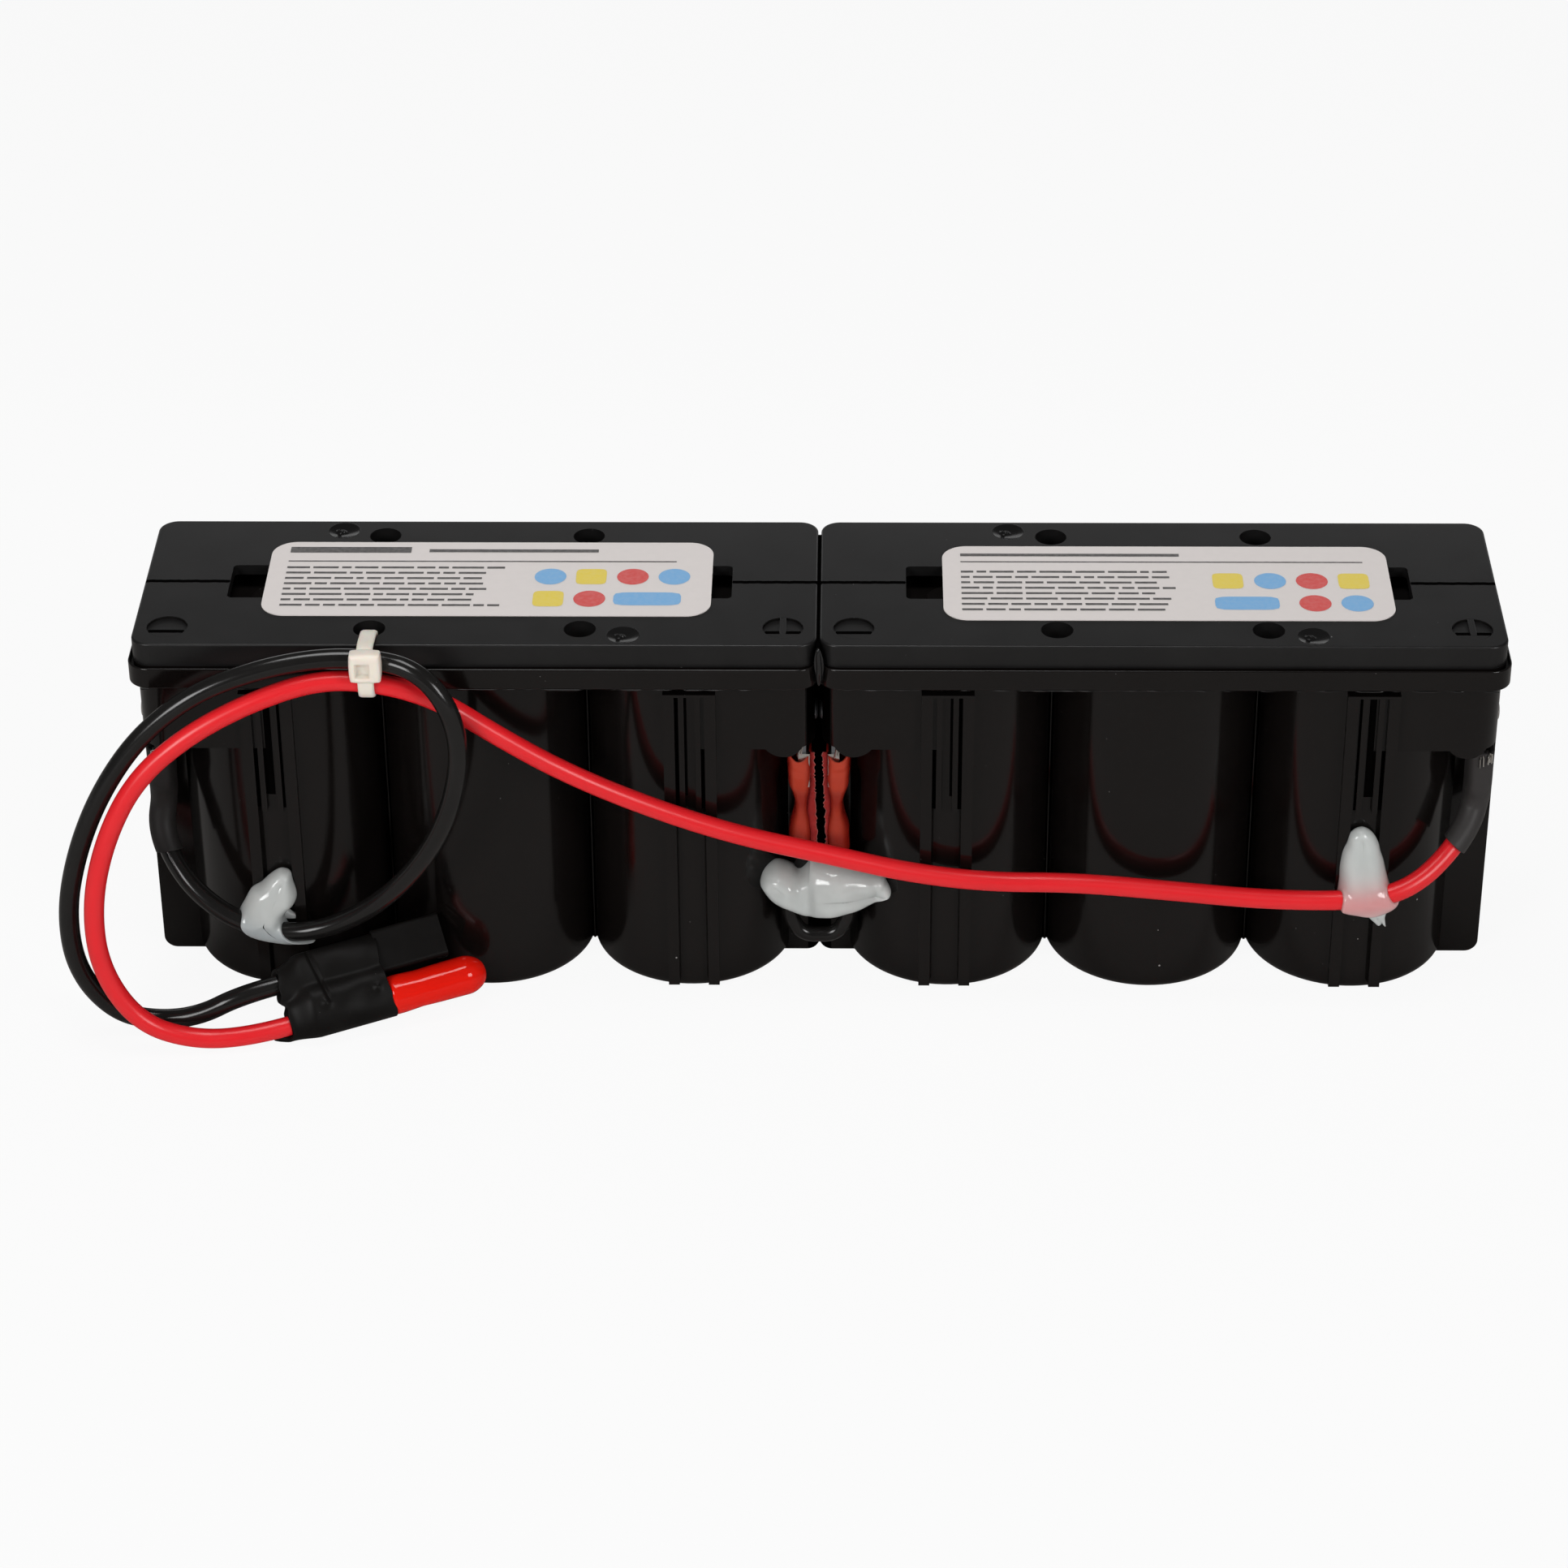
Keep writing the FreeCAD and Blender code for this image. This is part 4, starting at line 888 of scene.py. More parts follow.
glueLooks = {
    "leftGlue": {
        "node": "left_glue", "base": -18.2, "back": 1.4, "lead": "black", "blush": 2.0,
        "cover": 2.15,
        "knots": [
            (-89.1, 24.6, 0.0), (-87.6, 24.1, 0.0), (-87.2, 22.4, 0.08), (-86.7, 20.0, 0.20),
            (-87.0, 18.5, 0.28), (-88.0, 17.5, 0.36), (-88.7, 16.5, 0.43), (-88.9, 15.2, 0.50),
            (-88.4, 13.6, 0.62), (-86.9, 12.2, 0.80), (-83.8, 11.9, 1.0), (-85.6, 11.3, 0.90),
            (-90.1, 11.9, 0.66), (-93.3, 12.4, 0.58), (-95.4, 13.4, 0.53), (-96.5, 15.0, 0.50),
            (-96.4, 16.6, 0.46), (-95.4, 18.6, 0.36), (-94.1, 20.9, 0.25), (-92.4, 22.1, 0.15),
            (-90.7, 23.7, 0.04)],
        "spine": [
            (0.0, -89.0, 22.6, 2.4), (0.25, -89.9, 20.2, 3.6), (0.5, -92.2, 15.9, 4.6),
            (0.62, -91.2, 14.2, 3.9), (0.8, -88.0, 12.0, 1.5), (1.0, -84.2, 11.7, 0.2)]},
    "middleGlue": {
        "node": "middle_glue", "base": -12.2, "back": 4.0, "crease": (-1.5, 0.5, 0.7),
        "valley": (17.0, 21.4),
        "knots": [
            (-7.1, 21.7, 0.08), (-4.8, 21.2, 0.20), (-3.3, 20.4, 0.32), (-1.8, 21.8, 0.42),
            (-0.9, 23.2, 0.46), (4.1, 23.2, 0.62), (10.0, 21.2, 0.85), (11.3, 19.6, 0.95),
            (12.0, 17.6, 1.0), (10.6, 16.3, 0.95), (7.1, 14.5, 0.80), (2.9, 13.1, 0.62),
            (-0.6, 12.5, 0.48), (-3.0, 12.8, 0.38), (-6.0, 14.4, 0.25), (-8.1, 15.8, 0.12),
            (-9.5, 17.8, 0.04), (-9.8, 19.0, 0.0), (-9.0, 20.8, 0.02)],
        "spine": [
            (0.0, -7.2, 19.6, 4.0), (0.25, -5.2, 18.0, 4.9), (0.37, -3.0, 17.2, 4.0),
            (0.5, -0.4, 17.6, 5.4), (0.65, 3.2, 18.0, 6.2), (0.85, 7.8, 17.9, 4.6),
            (1.0, 10.6, 17.3, 2.2)]},
    "rightGlue": {
        "node": "right_glue", "base": -18.1, "back": 1.2, "lead": "red", "blush": 3.2,
        "cover": 2.25,
        "knots": [
            (89.1, 33.3, 0.0), (90.8, 32.4, 0.05), (91.9, 30.6, 0.12), (92.4, 28.8, 0.25),
            (93.0, 27.1, 0.36), (93.6, 24.7, 0.50), (94.3, 22.4, 0.62), (95.2, 20.9, 0.75),
            (96.1, 19.6, 0.86), (95.0, 18.4, 0.95), (92.7, 17.6, 1.0), (90.3, 17.4, 1.0),
            (87.8, 17.7, 0.98), (85.9, 18.3, 0.90), (85.6, 19.8, 0.80), (85.8, 21.6, 0.66),
            (85.9, 23.5, 0.55), (85.9, 25.8, 0.42), (86.2, 28.6, 0.28), (86.8, 30.4, 0.15),
            (87.4, 32.4, 0.03)],
        "spine": [
            (0.0, 89.3, 31.2, 1.8), (0.25, 89.4, 28.6, 2.6), (0.5, 89.8, 24.8, 3.6),
            (0.75, 90.4, 21.2, 4.9), (1.0, 90.6, 19.4, 4.5)]},
    "rightGlueTail": {
        "base": -18.1, "back": 0.6,
        "knots": [
            (90.4, 17.6, 0.0), (91.0, 16.0, 0.2), (92.1, 14.8, 0.5), (93.0, 13.9, 0.9),
            (93.6, 14.6, 0.95), (94.2, 13.7, 1.0), (94.0, 15.4, 0.7), (93.9, 17.6, 0.0)],
        "spine": [(0.0, 92.2, 17.4, 1.3), (0.5, 92.6, 15.8, 1.0), (1.0, 93.6, 14.4, 0.3)]},
    "leftGlueTail": {
        "base": -17.6, "back": 0.5,
        "knots": [
            (-89.2, 17.2, 0.0), (-88.0, 15.9, 0.4), (-86.1, 14.6, 1.0), (-87.4, 14.4, 0.7),
            (-89.4, 14.8, 0.0)],
        "spine": [(0.0, -89.0, 16.0, 0.9), (0.6, -87.8, 15.2, 0.7), (1.0, -86.5, 14.6, 0.2)]},
}
glueFlow = {"round": 3.2, "ripple": 0.02, "soft": 0.3, "leadReach": 12.0}


def nearLead(line, x, z):
    # depth of the lead's nearest point, and its distance, as seen from the front
    near = line[np.abs(line[:, 0] - x.mean()) < glueFlow["leadReach"]]
    away = np.hypot(x[..., None] - near[:, 0], z[..., None] - near[:, 2])
    return near[away.argmin(axis=-1), 1], away.min(axis=-1)


def makeGlue(name, look):
    # every point of the outline is joined to its foot on the spine; at a share s of the way out the
    # dab swells by height * sqrt(1 - s ** round) to the front, and by less into the case behind
    ring = closedCurve(look["knots"], 132)
    spine = np.array(look["spine"])
    place = np.clip(ring[:, 2], 0.0, 1.0)
    foot = np.stack([np.interp(place, spine[:, 0], spine[:, k]) for k in (1, 2, 3)], axis=1)
    for repeat in range(10):
        foot = 0.25 * np.roll(foot, 1, axis=0) + 0.5 * foot + 0.25 * np.roll(foot, -1, axis=0)
    share = np.sin(np.linspace(0, np.pi / 2, 26))[:, None]
    x, z = (foot[:, k] + share * (ring[:, k] - foot[:, k]) for k in (0, 1))
    dome = np.sqrt(np.maximum(1.0 - share ** glueFlow["round"], 0.0))
    height = foot[:, 2] * (1.0 + glueFlow["ripple"] * np.sin(1.3 * x + 0.8 * z))
    if "crease" in look:
        creaseX, depth, width = look["crease"]
        height = height - depth * np.exp(-((x - creaseX) / width) ** 2)
    ground = look["base"] + 0 * x
    if "valley" in look:
        wellRadius, wellPlace = look["valley"]
        wall = np.maximum(wellRadius ** 2 - (wellPlace - np.abs(x)) ** 2, 0.0)
        ground = np.minimum(ground, -np.sqrt(wall) - 0.1)
    face = ground - height * dome
    line = leadLines[look["lead"]] if "lead" in look else None
    if line is not None:
        # over the lead the face stands sqrt(cover ** 2 - d ** 2) in front of its line, and a soft
        # minimum, -k * log(exp(-a / k) + exp(-b / k)), joins that to the dome
        cover, soft = look["cover"], glueFlow["soft"]
        centre, gap = nearLead(line, x, z)
        sheath = centre - np.sqrt(np.maximum(cover ** 2 - gap ** 2, 0.0))
        sheath = sheath + 2.0 * np.maximum(gap - cover, 0.0)
        sheath = ground + (sheath - ground) * smoothStep(1.0, 0.82, share)
        face = -soft * np.logaddexp(-face / soft, -sheath / soft)
    front = np.stack([x, face, z], axis=-1)
    rear = np.stack([x, ground + look["back"] * dome, z], axis=-1)
    material = finish["hotGlueOverRed" if look.get("lead") == "red" else "hotGlue"]
    piece = makePiece(name, np.concatenate([front, rear[::-1][1:]]), material,
                      look.get("node"), caps=(False, False))
    points = readPoints(piece.data)
    blush = np.zeros(len(points))
    if line is not None:
        away = nearLead(line, points[:, 0], points[:, 2])[1]
        blush = np.exp(-(away / look["blush"]) ** 2)
    paintPoints(piece.data, "blush", blush)


for glueName, glueLook in glueLooks.items():
    makeGlue(glueName, glueLook)
print("glue made")


# Plug: shrunk sleeve round both leads, the dipped cap on the red contact, and painted shade beside
# the cap

plugLook = {
    "start": (-88.565, -30.023, 5.30), "axis": (0.93437, 0.34477, 0.08994),
    "wide": (-0.30444, 0.64137, 0.70424), "thin": (0.18511, -0.68540, 0.70424),
    "length": 17.2, "lift": 1.0, "liftEnd": 4.25, "growEnd": 4.5, "bulge": 0.7,
    "halfStart": 6.2, "halfEnd": 6.9, "thickStart": 2.5, "thickRed": 3.5, "thickBlack": 2.3,
    "tongue": 2.4, "pinch": 0.22, "crease": 0.30, "floor": 0.12,
    "lumps": [(6.3, -2.9, 0.42, 0.5), (15.2, -2.6, 0.36, 0.35)],
    "cap": {"start": 17.2, "radius": 3.22, "length": 16.6, "dome": 3.6, "aside": -4.15},
    "shade": {"from": 16.5, "to": 26.8, "wide": -0.35, "thin": -1.3, "halfWide": 1.5,
              "halfThin": 0.8},
}


def plugPoint(look, along, wide, thin):
    # a point of the plug from its distances along, across and through it; its middle rises at first
    axis, wideWay, thinWay = (np.array(look[key]) for key in ("axis", "wide", "thin"))
    lift = look["lift"] * smoothStep(0.0, look["liftEnd"], along)
    base = np.array(look["start"]) + along[..., None] * axis
    base = base + lift[..., None] * np.array([0.0, 0.0, 1.0])
    return base + wide[..., None] * wideWay + thin[..., None] * thinWay


def makePlugSleeve(look):
    # flattened tube: a superellipse whose thickness grows from the black side to the red side,
    # pinched where the leads enter, with a crease across its face, two lumps and a melted tongue
    turn = fullTurn(96)[None, :]
    share = np.linspace(0, 1, 110)[:, None]
    tongue = look["tongue"] * np.exp(-((turn - 1.12 * np.pi) / 0.16) ** 2)
    ragged = 0.35 * np.sin(3 * turn + 0.6) + 0.2 * np.sin(7 * turn)
    first = -0.2 - tongue + ragged
    last = look["length"] + 0.25 * np.sin(2 * turn + 2.0) + 0.1 * np.sin(5 * turn)
    along = first + share * (last - first)
    grow = smoothStep(0.0, look["growEnd"], along)
    wideShare = np.cos(turn)
    half = look["halfStart"] + (look["halfEnd"] - look["halfStart"]) * grow
    half = half + look["bulge"] * grow * smoothStep(0.0, -0.8, wideShare)
    redShare = smoothStep(0.55, -0.55, wideShare)
    thickFull = look["thickBlack"] + (look["thickRed"] - look["thickBlack"]) * redShare
    thick = look["thickStart"] + (thickFull - look["thickStart"]) * grow
    pinch = 1.0 - look["pinch"] * (1.0 - grow) * np.exp(-(wideShare / 0.45) ** 2)
    radius = ovalRadius(turn, half, thick * pinch, 2.5)
    wide, thin = radius * np.cos(turn), radius * np.sin(turn)
    crease = np.exp(-((along - 6.6 + 0.14 * (wide - 1.0)) / 0.35) ** 2)
    crease = crease * smoothStep(-3.0, -1.5, wide)
    swell = 0.10 * np.sin(0.45 * along + 0.5 * wide) + 0.05 * np.sin(1.1 * along - 0.6 * wide + 1.0)
    swell = swell - look["crease"] * crease
    for lumpAlong, lumpWide, tall, spread in look["lumps"]:
        away = (along - lumpAlong) ** 2 + (wide - lumpWide) ** 2
        swell = swell + tall * np.exp(-away / spread)
    skin = plugPoint(look, along, wide, thin + smoothStep(0.0, 1.2, thin) * swell)
    skin[..., 2] = np.maximum(skin[..., 2], look["floor"])
    axis = np.array(look["axis"])
    rows = [drawIn(skin[:1], 0.80) + 1.8 * axis, drawIn(skin[:1], 0.88) + 0.1 * axis, skin,
            drawIn(skin[-1:], 0.925), drawIn(skin[-1:], 0.90) - 3.2 * axis]
    return makePiece("plugWrap", np.concatenate(rows), finish["plugWrap"], "plug_sleeve")


def makePlugCap(look):
    # surface of revolution about the red contact: rolled rim, a wall that narrows, and a blunt dome
    cap = look["cap"]
    straight = cap["length"] - cap["dome"]
    stations = np.array([
        [1.6, 0.70], [0.25, 0.76], [0.02, 0.86], [0.05, 0.94], [0.30, 1.0], [0.8, 1.01],
        [2.0, 0.985], [5.0, 0.975], [8.0, 0.985], [straight, 0.985]])
    dome = np.linspace(0, 1, 22)[1:] * np.pi / 2
    runs = np.concatenate([stations[:, 0], straight + cap["dome"] * np.sin(dome)])[:, None]
    radii = np.concatenate([stations[:, 1], 0.985 * np.cos(dome) ** 0.85])[:, None] * cap["radius"]
    radii[-1] = 0.0
    turn = fullTurn(64)
    out = radii * (1.0 + 0.012 * np.sin(2 * turn + 0.5 * runs) + 0.020 * np.sin(1.15 * runs - 0.9))
    points = plugPoint(look, cap["start"] + runs + 0 * turn, cap["aside"] + out * np.cos(turn),
                       out * np.sin(turn))
    return makePiece("plugCapDipped", points, finish["dippedCap"], "plug_cap",
                     caps=(True, False))


def makePlugShade(look):
    # painted shade: a dark bar in the gap between the cap and the housing, where the housing's
    # underside lies in shadow; a superellipse carried along the plug
    shade = look["shade"]
    turn = fullTurn(32)[None, :]
    along = np.linspace(shade["from"], shade["to"], 8)[:, None] + 0 * turn
    radius = ovalRadius(turn, shade["halfWide"], shade["halfThin"], 4.0) + 0 * along
    points = plugPoint(look, along, shade["wide"] + radius * np.cos(turn),
                       shade["thin"] + radius * np.sin(turn))
    return makePiece("plugShade", points, finish["darkGap"])


plugWrap = makePlugSleeve(plugLook)
plugCap = makePlugCap(plugLook)
plugShade = makePlugShade(plugLook)
print("plug made")


# Cable tie

tieLook = {
    "x": -72.1, "width": 2.6, "thickness": 0.95,
    "loop": [(-15.6, 65.5), (-16.0, 68.3), (-17.5, 69.5), (-20.6, 70.15), (-23.3, 70.5),
             (-25.0, 70.0), (-25.5, 68.0), (-25.5, 65.2), (-25.0, 62.9), (-23.1, 61.65),
             (-18.6, 61.3), (-16.0, 62.2)],
    "headX": -71.93, "headFront": -27.6, "headBack": -25.0, "headLow": 65.9, "headHigh": 71.15,
    "headWidth": 5.2, "headCorner": 0.75, "window": (-72.35, 68.2, 2.3, 2.6), "windowCorner": 0.3,
    "backSteps": [(0.5, 0.0), (0.15, -0.12), (0.0, -0.5)],
    "frontSteps": [(0.0, 0.75), (0.10, 0.35), (0.30, 0.12), (0.62, 0.0)],
    "windowSteps": [(0.22, 0.0), (0.06, 0.06), (0.0, 0.25), (-0.15, 1.3)],
}


def makeTie(look):
    # strap: a flat rounded section carried round a closed line, through the lid's hole and round
    # both leads
    line = closedCurve(look["loop"], 150)
    ahead = unit(np.roll(line, -1, axis=0) - np.roll(line, 1, axis=0))
    normal = np.stack([-ahead[:, 1], ahead[:, 0]], axis=1)
    turn = fullTurn(28)
    radius = ovalRadius(turn, look["width"] / 2, look["thickness"] / 2, 5.0)
    points = np.empty((150, 28, 3))
    points[..., 0] = look["x"] + radius * np.cos(turn)
    through = (radius * np.sin(turn))[None, :, None]
    points[..., 1:] = line[:, None, :] + normal[:, None, :] * through
    makePiece("tieStrap", points, finish["ivoryNylon"], "cable_tie", closeRows=True,
              caps=(False, False))

    # head: rounded rectangles from back to front, then in over the face and down into its window;
    # each step is (inset or growth, place)
    middleZ, tall = (look["headLow"] + look["headHigh"]) / 2, look["headHigh"] - look["headLow"]
    windowX, windowZ, windowWide, windowTall = look["window"]
    back, front = look["headBack"], look["headFront"]
    rings, places = [], []
    outer = [(inset, back + step) for inset, step in look["backSteps"]]
    for inset, y in outer + [(inset, front + step) for inset, step in look["frontSteps"]]:
        corner = max(look["headCorner"] - inset * 0.5, look["windowCorner"])
        rings.append(squareRing(look["headX"], middleZ, look["headWidth"] - 2 * inset,
                                tall - 2 * inset, corner, 64))
        places.append(y)
    for grow, step in look["windowSteps"]:
        rings.append(squareRing(windowX, windowZ, windowWide + 2 * grow, windowTall + 2 * grow,
                                look["windowCorner"], 64))
        places.append(front + step)
    rows = stackRings(rings, places)[..., [0, 2, 1]]
    makePiece("tieHead", rows, finish["ivoryNylon"])


makeTie(tieLook)
print("tie made")


# Polarity marks in the lids' round recesses: plates, a dark lining on the rear wall and a dark
# line, both painted shade, and, for plus, an upright

markLook = {
    "places": [(-104.9, -14.7, False), (-5.7, -14.7, True), (5.7, -14.7, False),
               (104.9, -14.7, True)],
    "radius": 3.24, "low": 68.42, "chord": -0.95, "gap": 0.95, "frontTop": 68.98, "rearTop": 68.60,
    "shadeLineTop": 68.985, "shadeLineReach": 2.9, "upright": 0.55, "uprightTop": 69.0, "round": 0.06,
    "corner": 0.12, "wall": (0.05, -0.06)}


def moonRows(x, y, look, rear):
    # part of a disc on one side of a chord: level with the lid in front of it, and sunk behind it
    start = math.asin((look["chord"] if rear else look["chord"] - look["gap"]) / look["radius"])
    first, last = (start, math.pi - start) if rear else (math.pi - start, 2 * math.pi + start)
    turn = np.linspace(first, last, 40)
    ring = np.stack([x + look["radius"] * np.cos(turn), y + look["radius"] * np.sin(turn)], axis=1)
    return stackRings([ring, ring], [look["low"], look["rearTop" if rear else "frontTop"]])


def barRows(x0, x1, y0, y1, top, look):
    # rounded rectangle in plan, straight up and then in over a small round at its top
    small = look["round"]
    insets = (0.0, 0.0, small * 0.3, small)
    levels = (look["low"], top - small, top - small * 0.3, top)
    rings = [squareRing((x0 + x1) / 2, (y0 + y1) / 2, x1 - x0 - 2 * inset, y1 - y0 - 2 * inset,
                        look["corner"], 48) for inset in insets]
    return stackRings(rings, levels)


def arcRows(x, y, look):
    # painted shade: a thin dark lining along the rear half of the recess, where its wall lies in
    # shadow; a small rectangle carried round the arc
    turn = np.linspace(0.1 * math.pi, 0.9 * math.pi, 48)[:, None]
    radius = look["radius"] + np.repeat(look["wall"], 2)
    low, high = look["low"], look["frontTop"]
    level = np.array([low, high, high, low]) + 0 * turn
    return np.stack([x + radius * np.cos(turn), y + radius * np.sin(turn), level], axis=-1)


def makeMarks(look):
    for number, (x, y, plus) in enumerate(look["places"], 1):
        line, reach, half = y + look["chord"], look["shadeLineReach"], look["upright"]
        foot = line - look["gap"]
        shadeBar = barRows(x - reach, x + reach, foot, line, look["shadeLineTop"], look)
        # painted shade: a dark lining on the recess's rear wall, and a dark strip in the gap in
        # front of the chord, both where shadow falls
        parts = [("Rear", moonRows(x, y, look, True), "mouldedLid"),
                 ("Front", moonRows(x, y, look, False), "mouldedLid"),
                 ("WallShade", arcRows(x, y, look), "plugWrap"), ("Line", shadeBar, "darkGap")]
        if plus:
            upright = barRows(x - half, x + half, foot, y + look["radius"], look["uprightTop"],
                              look)
            parts.append(("Upright", upright, "mouldedLid"))
        for label, rows, material in parts:
            makePiece("polarity%s_%d" % (label, number), rows, finish[material],
                      sharp=0.3)


makeMarks(markLook)


# Scars of the moulding gates, painted shade in the lids' parting lines, and the adhesive between
# the lids, dark with painted shade

scarLook = {"places": [(-79.3, 17.0), (-31.3, -17.0), (31.3, 17.0), (79.3, -17.0)], "top": 69.0,
            "radius": 2.66, "depth": 0.5, "lift": 0.03, "nub": (-0.55, 0.1, 0.60, 0.55),
            "nubTop": 69.2, "wall": 0.2}


def makeScars(look):
    # shallow bowl, depth * (1 - (r / R) ** 2) below the top, with a torn nub near its middle
    share = np.linspace(0, 1, 34)[:, None]
    turn = fullTurn(60)
    across, forth = look["radius"] * share * np.cos(turn), look["radius"] * share * np.sin(turn)
    nubX, nubY, nubReach, nubHeight = look["nub"]
    torn = 1.0 + 0.5 * np.sin(5.0 * across + 3.0 * forth)
    away = (across - nubX) ** 2 + 1.6 * (forth - nubY) ** 2
    nub = nubHeight * torn * np.exp(-away / nubReach ** 2)
    bowl = look["top"] - look["depth"] * (1 - share ** 2) + look["lift"] * (1 - share ** 8) + nub
    bowl = np.minimum(bowl, look["nubTop"])
    under = np.minimum(bowl, look["top"]) - look["wall"]
    for number, (x, y) in enumerate(look["places"], 1):
        skin, back = (np.stack([x + across, y + forth, z], axis=-1) for z in (bowl, under))
        makePiece("gateScar_%d" % number, np.concatenate([skin, back[::-1]]), finish["gateScar"],
                  caps=(False, False))


jointLook = {"partings": [(-110.2, -96.5), (-14.1, -0.27), (0.27, 14.1), (96.5, 110.2)],
             "half": 0.42, "top": 69.012, "low": 68.82, "jointHalf": 0.29,
             "jointEnds": (-19.6, 16.9), "jointTop": 68.35, "jointLow": 65.0}


def makeJoints(look):
    # dark four-sided bars: painted shade along X in the grooves of the parting lines, and along Y,
    # with a top that wanders, the adhesive between the lids, given the same painted shade
    sides = np.array([-1.0, 1.0, 1.0, -1.0])
    shadeBars = {}
    for number, (x0, x1) in enumerate(look["partings"], 1):
        x = np.linspace(x0, x1, 60)[:, None]
        y = sides * look["half"] + 0.03 * np.sin(1.9 * x + number) + 0.02 * np.sin(4.3 * x)
        z = np.repeat([look["low"], look["top"]], 2)
        shadeBars["partingLine_%d" % number] = (x, y, z)
    y = np.linspace(*look["jointEnds"], 120)[:, None]
    high = look["jointTop"] + 0.08 * np.sin(0.9 * y) + 0.05 * np.sin(2.7 * y + 1.0)
    low = 0 * y + look["jointLow"]
    z = np.concatenate([low, low, high, high], axis=1)
    shadeBars["jointAdhesive"] = (sides * look["jointHalf"], y, z)
    for name, shadeBar in shadeBars.items():
        rows = np.stack(np.broadcast_arrays(*shadeBar), axis=-1)
        makePiece(name, rows, finish["darkGap"], smooth=False)


makeScars(scarLook)
makeJoints(jointLook)


# Painted shade in the slots beside the ribs of the rails: each rail is (cell, shift, strips)

ribShadeLook = {"radius": 17.03, "thick": 0.25, "top": 57.9, "lows": (35.9, 38.5, 35.9),
            "rails": [(-89.2, -0.45, [(-2.42, -1.78), (-0.87, 0.55), (1.78, 2.10)]),
                      (-21.4, 0.45, [(-2.42, -1.78), (-0.87, -0.45), (1.78, 2.42)]),
                      (21.4, -0.45, [(-2.42, -1.78), (0.45, 0.87), (1.78, 2.42)]),
                      (89.2, 0.45, [(-2.10, -1.78), (-0.55, 0.87), (1.78, 2.42)])]}


def makeRibShades(look):
    # dark strips of painted shade in the slots, sunk in the round wall before and behind each cell,
    # sqrt(radius ** 2 - x ** 2) from its middle
    number = 0
    for cell, shift, strips in look["rails"]:
        for (x0, x1), low in zip(strips, look["lows"]):
            x = np.linspace(x0, x1, 6) + shift
            skin = np.sqrt(look["radius"] ** 2 - x ** 2)
            for face in (-1, 1):
                number += 1
                front = np.stack([cell + x, face * skin], axis=1)
                back = np.stack([cell + x, face * (skin - look["thick"])], axis=1)
                ring = np.concatenate([front, back[::-1]])
                makePiece("ribShade_%d" % number, stackRings([ring, ring], [low, look["top"]]),
                          finish["darkGap"], smooth=False)


makeRibShades(ribShadeLook)


# Webs between neighbouring wells: each row is (level, inset)

webLook = {
    "places": [-72.25, -38.35, 38.35, 72.25],
    "line": {"width": 0.52, "depth": 7.4, "corner": 0.26, "rows": [(1.2, 0.0), (61.25, 0.0)]},
    "foot": {"width": 2.5, "depth": 4.4, "corner": 0.6,
             "rows": [(0.15, 0.4), (0.3, 0.12), (0.6, 0.0), (6.0, 0.0)]}}


def makeWebs(look):
    # upright bars with round noses: a thin one as high as the wells, and a stouter one that closes
    # their lower end
    for number, x in enumerate(look["places"], 1):
        for part in ("line", "foot"):
            shape = look[part]
            rings = [squareRing(x, 0.0, shape["width"] - 2 * inset, shape["depth"] - 2 * inset,
                                max(shape["corner"] - inset, 0.1), 48)
                     for level, inset in shape["rows"]]
            levels = [level for level, inset in shape["rows"]]
            makePiece("%sWeb_%d" % (part, number), stackRings(rings, levels),
                      finish["mouldedCase"], sharp=0.8)


makeWebs(webLook)


# Rolled edges of the contacts, seen above their sleeves and tubing: each curl is (foot, head)

curlLook = {
    "curls": [((-3.23, -13.15, 43.9), (-2.85, -12.95, 45.9)),
              ((2.84, -13.15, 43.6), (3.32, -12.95, 45.8)),
              ((108.45, -13.6, 42.3), (108.40, -13.5, 44.3)),
              ((109.75, -13.6, 42.9), (109.80, -13.5, 44.7)),
              ((-109.55, -13.6, 42.7), (-109.4, -13.5, 44.6)),
              ((-108.5, -13.6, 43.3), (-108.4, -13.5, 45.0))],
    "radius": 0.46, "wall": 0.17, "taper": 0.35, "slant": 0.25}


def makeCurls(look):
    # three quarters of a ring carried up a short slanting line, narrower near its top
    turn = np.linspace(-0.6, 4.2, 28)
    circle = np.stack([np.cos(turn), np.sin(turn)], axis=1)
    inner = (look["radius"] - look["wall"]) * circle
    ring = np.concatenate([look["radius"] * circle, inner[::-1]])
    share = np.linspace(0, 1, 12)[:, None]
    taper = 1.0 - look["taper"] * smoothStep(0.7, 1.0, share)
    for number, (foot, head) in enumerate(np.array(look["curls"]), 1):
        line = foot + share * (head - foot)
        points = np.stack([line[:, :1] + ring[:, 0] * taper, line[:, 1:2] + ring[:, 1] * taper,
                           line[:, 2:3] + look["slant"] * ring[:, 0]], axis=-1)
        makePiece("contactCurl_%d" % number, points, finish["tinPlate"], sharp=0.7)


makeCurls(curlLook)
print("marks, scars, joints, slots, webs and curls made")


# Print on the labels: rules are (x, y, length, height), fields (x, y, width, height, power, colour)

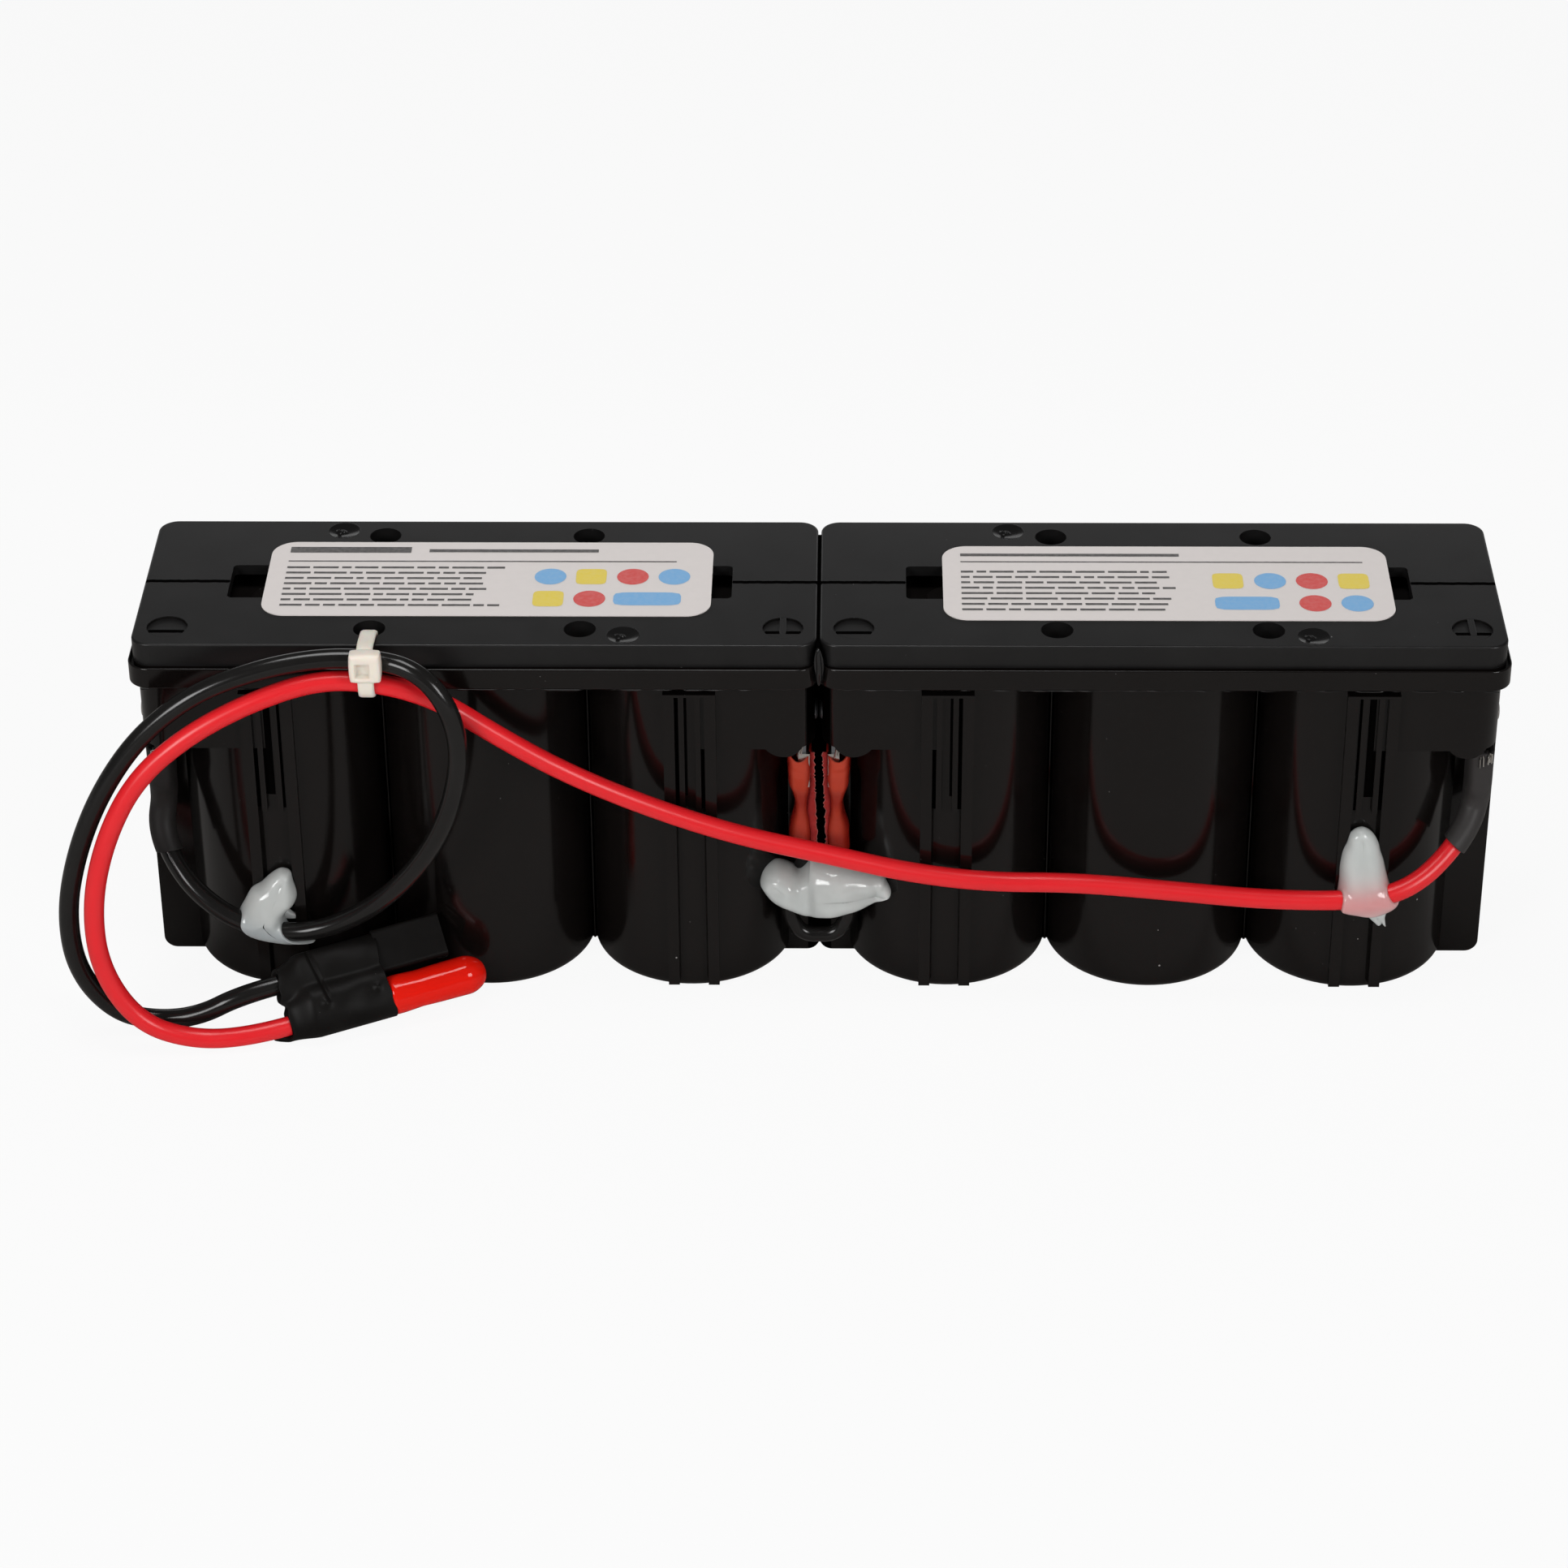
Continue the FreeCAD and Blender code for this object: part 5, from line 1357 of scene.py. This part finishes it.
printLook = {
    "lift": 69.19, "ink": (0.035, 0.033, 0.033), "blue": (0.16, 0.42, 0.74),
    "yellow": (0.80, 0.62, 0.05), "red": (0.66, 0.04, 0.035),
    "lines": {"count": 8, "x": 3.0, "y": 15.2, "pitch": 1.75, "height": 0.62, "width": 37.0,
              "ragged": 0.14, "shortest": 1.2, "spread": 4.2, "space": 0.55, "least": 1.5},
    "leftPrint": {
        "node": "left_label", "seed": 21,
        "rules": [(3.0, 20.4, 20.0, 1.9), (26.0, 20.6, 28.0, 1.0), (3.0, 17.4, 64.0, 0.35)],
        "fields": [
            (46.5, 12.6, 5.2, 5.2, 2.0, "blue"), (53.2, 12.6, 5.0, 5.0, 6.0, "yellow"),
            (60.0, 12.6, 5.2, 5.2, 2.0, "red"), (66.8, 12.6, 5.2, 5.2, 2.0, "blue"),
            (46.5, 5.4, 5.0, 5.0, 6.0, "yellow"), (53.2, 5.4, 5.2, 5.2, 2.0, "red"),
            (62.6, 5.4, 11.0, 4.2, 6.0, "blue")]},
    "rightPrint": {
        "node": "right_label", "seed": 22,
        "rules": [(3.0, 20.6, 36.0, 0.9), (3.0, 18.6, 66.0, 0.35)],
        "fields": [
            (46.5, 12.6, 5.0, 5.0, 6.0, "yellow"), (53.4, 12.6, 5.2, 5.2, 2.0, "blue"),
            (60.2, 12.6, 5.2, 5.2, 2.0, "red"), (67.0, 12.6, 5.0, 5.0, 6.0, "yellow"),
            (49.2, 5.4, 10.4, 4.2, 6.0, "blue"), (60.2, 5.4, 5.2, 5.2, 2.0, "red"),
            (67.0, 5.4, 5.2, 5.2, 2.0, "blue")]},
}


def makePrint(name, look):
    # all shapes lie in one level: each rule is a four-sided face, each field a superellipse closed
    # as one face
    label, lines = look[name], look["lines"]
    low = np.array(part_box(label["node"])[0]) / mm
    rng = np.random.default_rng(label["seed"])
    corners, faces, colours = [], [], []

    def addFace(ring, colour):
        faces.append(list(range(len(corners), len(corners) + len(ring))))
        corners.extend([(low[0] + x, low[1] + y, look["lift"]) for x, y in ring])
        colours.extend([look[colour] + (1.0,)] * len(ring))

    def addRule(x, y, length, tall):
        addFace([(x, y), (x + length, y), (x + length, y + tall), (x, y + tall)], "ink")

    for rule in label["rules"]:
        addRule(*rule)
    for row in range(lines["count"]):
        x = lines["x"]
        stop = x + lines["width"] * (1.0 - lines["ragged"] + lines["ragged"] * rng.random())
        while x < stop - lines["least"]:
            length = min(lines["shortest"] + lines["spread"] * rng.random(), stop - x)
            addRule(x, lines["y"] - row * lines["pitch"], length, lines["height"])
            x += length + lines["space"]
    turn = fullTurn(40)
    for x, y, width, tall, power, colour in label["fields"]:
        radius = ovalRadius(turn, width / 2, tall / 2, power)
        addFace(list(zip(x + radius * np.cos(turn), y + radius * np.sin(turn))), colour)
    mesh = bpy.data.meshes.new(name)
    mesh.from_pydata((np.array(corners) * mm).tolist(), [], faces)
    layer = mesh.attributes.new("ink", "FLOAT_COLOR", "POINT")
    layer.data.foreach_set("color", np.array(colours).ravel())
    mesh.update()
    linkPiece(name, mesh, finish["labelInk"], smooth=False)


makePrint("leftPrint", printLook)
makePrint("rightPrint", printLook)
print("label print made")


# Bead of adhesive between the blocks, and the flash along the lips' lower edges

beadLook = {"place": (0.12, -20.35), "low": 61.5, "high": 68.6, "radius": 0.74, "blunt": 0.55,
            "folds": (0.13, 0.06), "sway": 0.12}


def makeBead(look):
    # a drop: the radius follows sin(pi * share) ** blunt, with upright folds that wander a little
    share = np.linspace(0, 1, 60)[:, None]
    turn = fullTurn(64)
    radius = look["radius"] * np.sin(np.pi * share) ** look["blunt"] * (0.86 + 0.2 * share)
    folds = look["folds"][0] * np.sin(4 * turn + 2.4 * share)
    folds = folds + look["folds"][1] * np.sin(7 * turn - 5.0 * share)
    radius = radius * (1.0 + folds)
    level = look["low"] + share * (look["high"] - look["low"]) + 0 * turn
    x = look["place"][0] + radius * np.cos(turn) + look["sway"] * np.sin(5.0 * share)
    points = np.stack([x, look["place"][1] + radius * np.sin(turn), level], axis=-1)
    makePiece("adhesiveBead", points, finish["adhesive"], "seam_bead",
              caps=(False, False))


flashLook = {"front": -21.22, "level": 61.27, "ends": [(-109.0, -3.0), (3.0, 109.0)],
             "height": 0.16, "seed": 30, "count": 420, "window": 15, "mean": 0.25, "spread": 0.56,
             "least": 0.03}


def makeFlash(look):
    # a thin ridge of squeezed-out plastic whose size wanders from nothing to full along the edge
    count, window = look["count"], np.hanning(look["window"])
    turn = fullTurn(8)
    for number, (x0, x1) in enumerate(look["ends"], 1):
        rng = np.random.default_rng(look["seed"] + number)
        x = np.linspace(x0, x1, count)[:, None] + 0 * turn
        draws = rng.normal(size=count + look["window"] - 1)
        rough = np.convolve(draws, window / window.sum(), mode="valid")
        size = np.clip(look["mean"] + look["spread"] * rough / rough.std(), look["least"], 1.0)
        size = look["height"] * size[:, None]
        y = look["front"] - size * (0.6 * np.cos(turn) + 0.3)
        z = look["level"] + size * (0.8 * np.sin(turn) - 0.5)
        makePiece("lipFlash_%d" % number, np.stack([x, y, z], axis=-1), finish["adhesive"])


makeBead(beadLook)
makeFlash(flashLook)
print("bead and flash made")
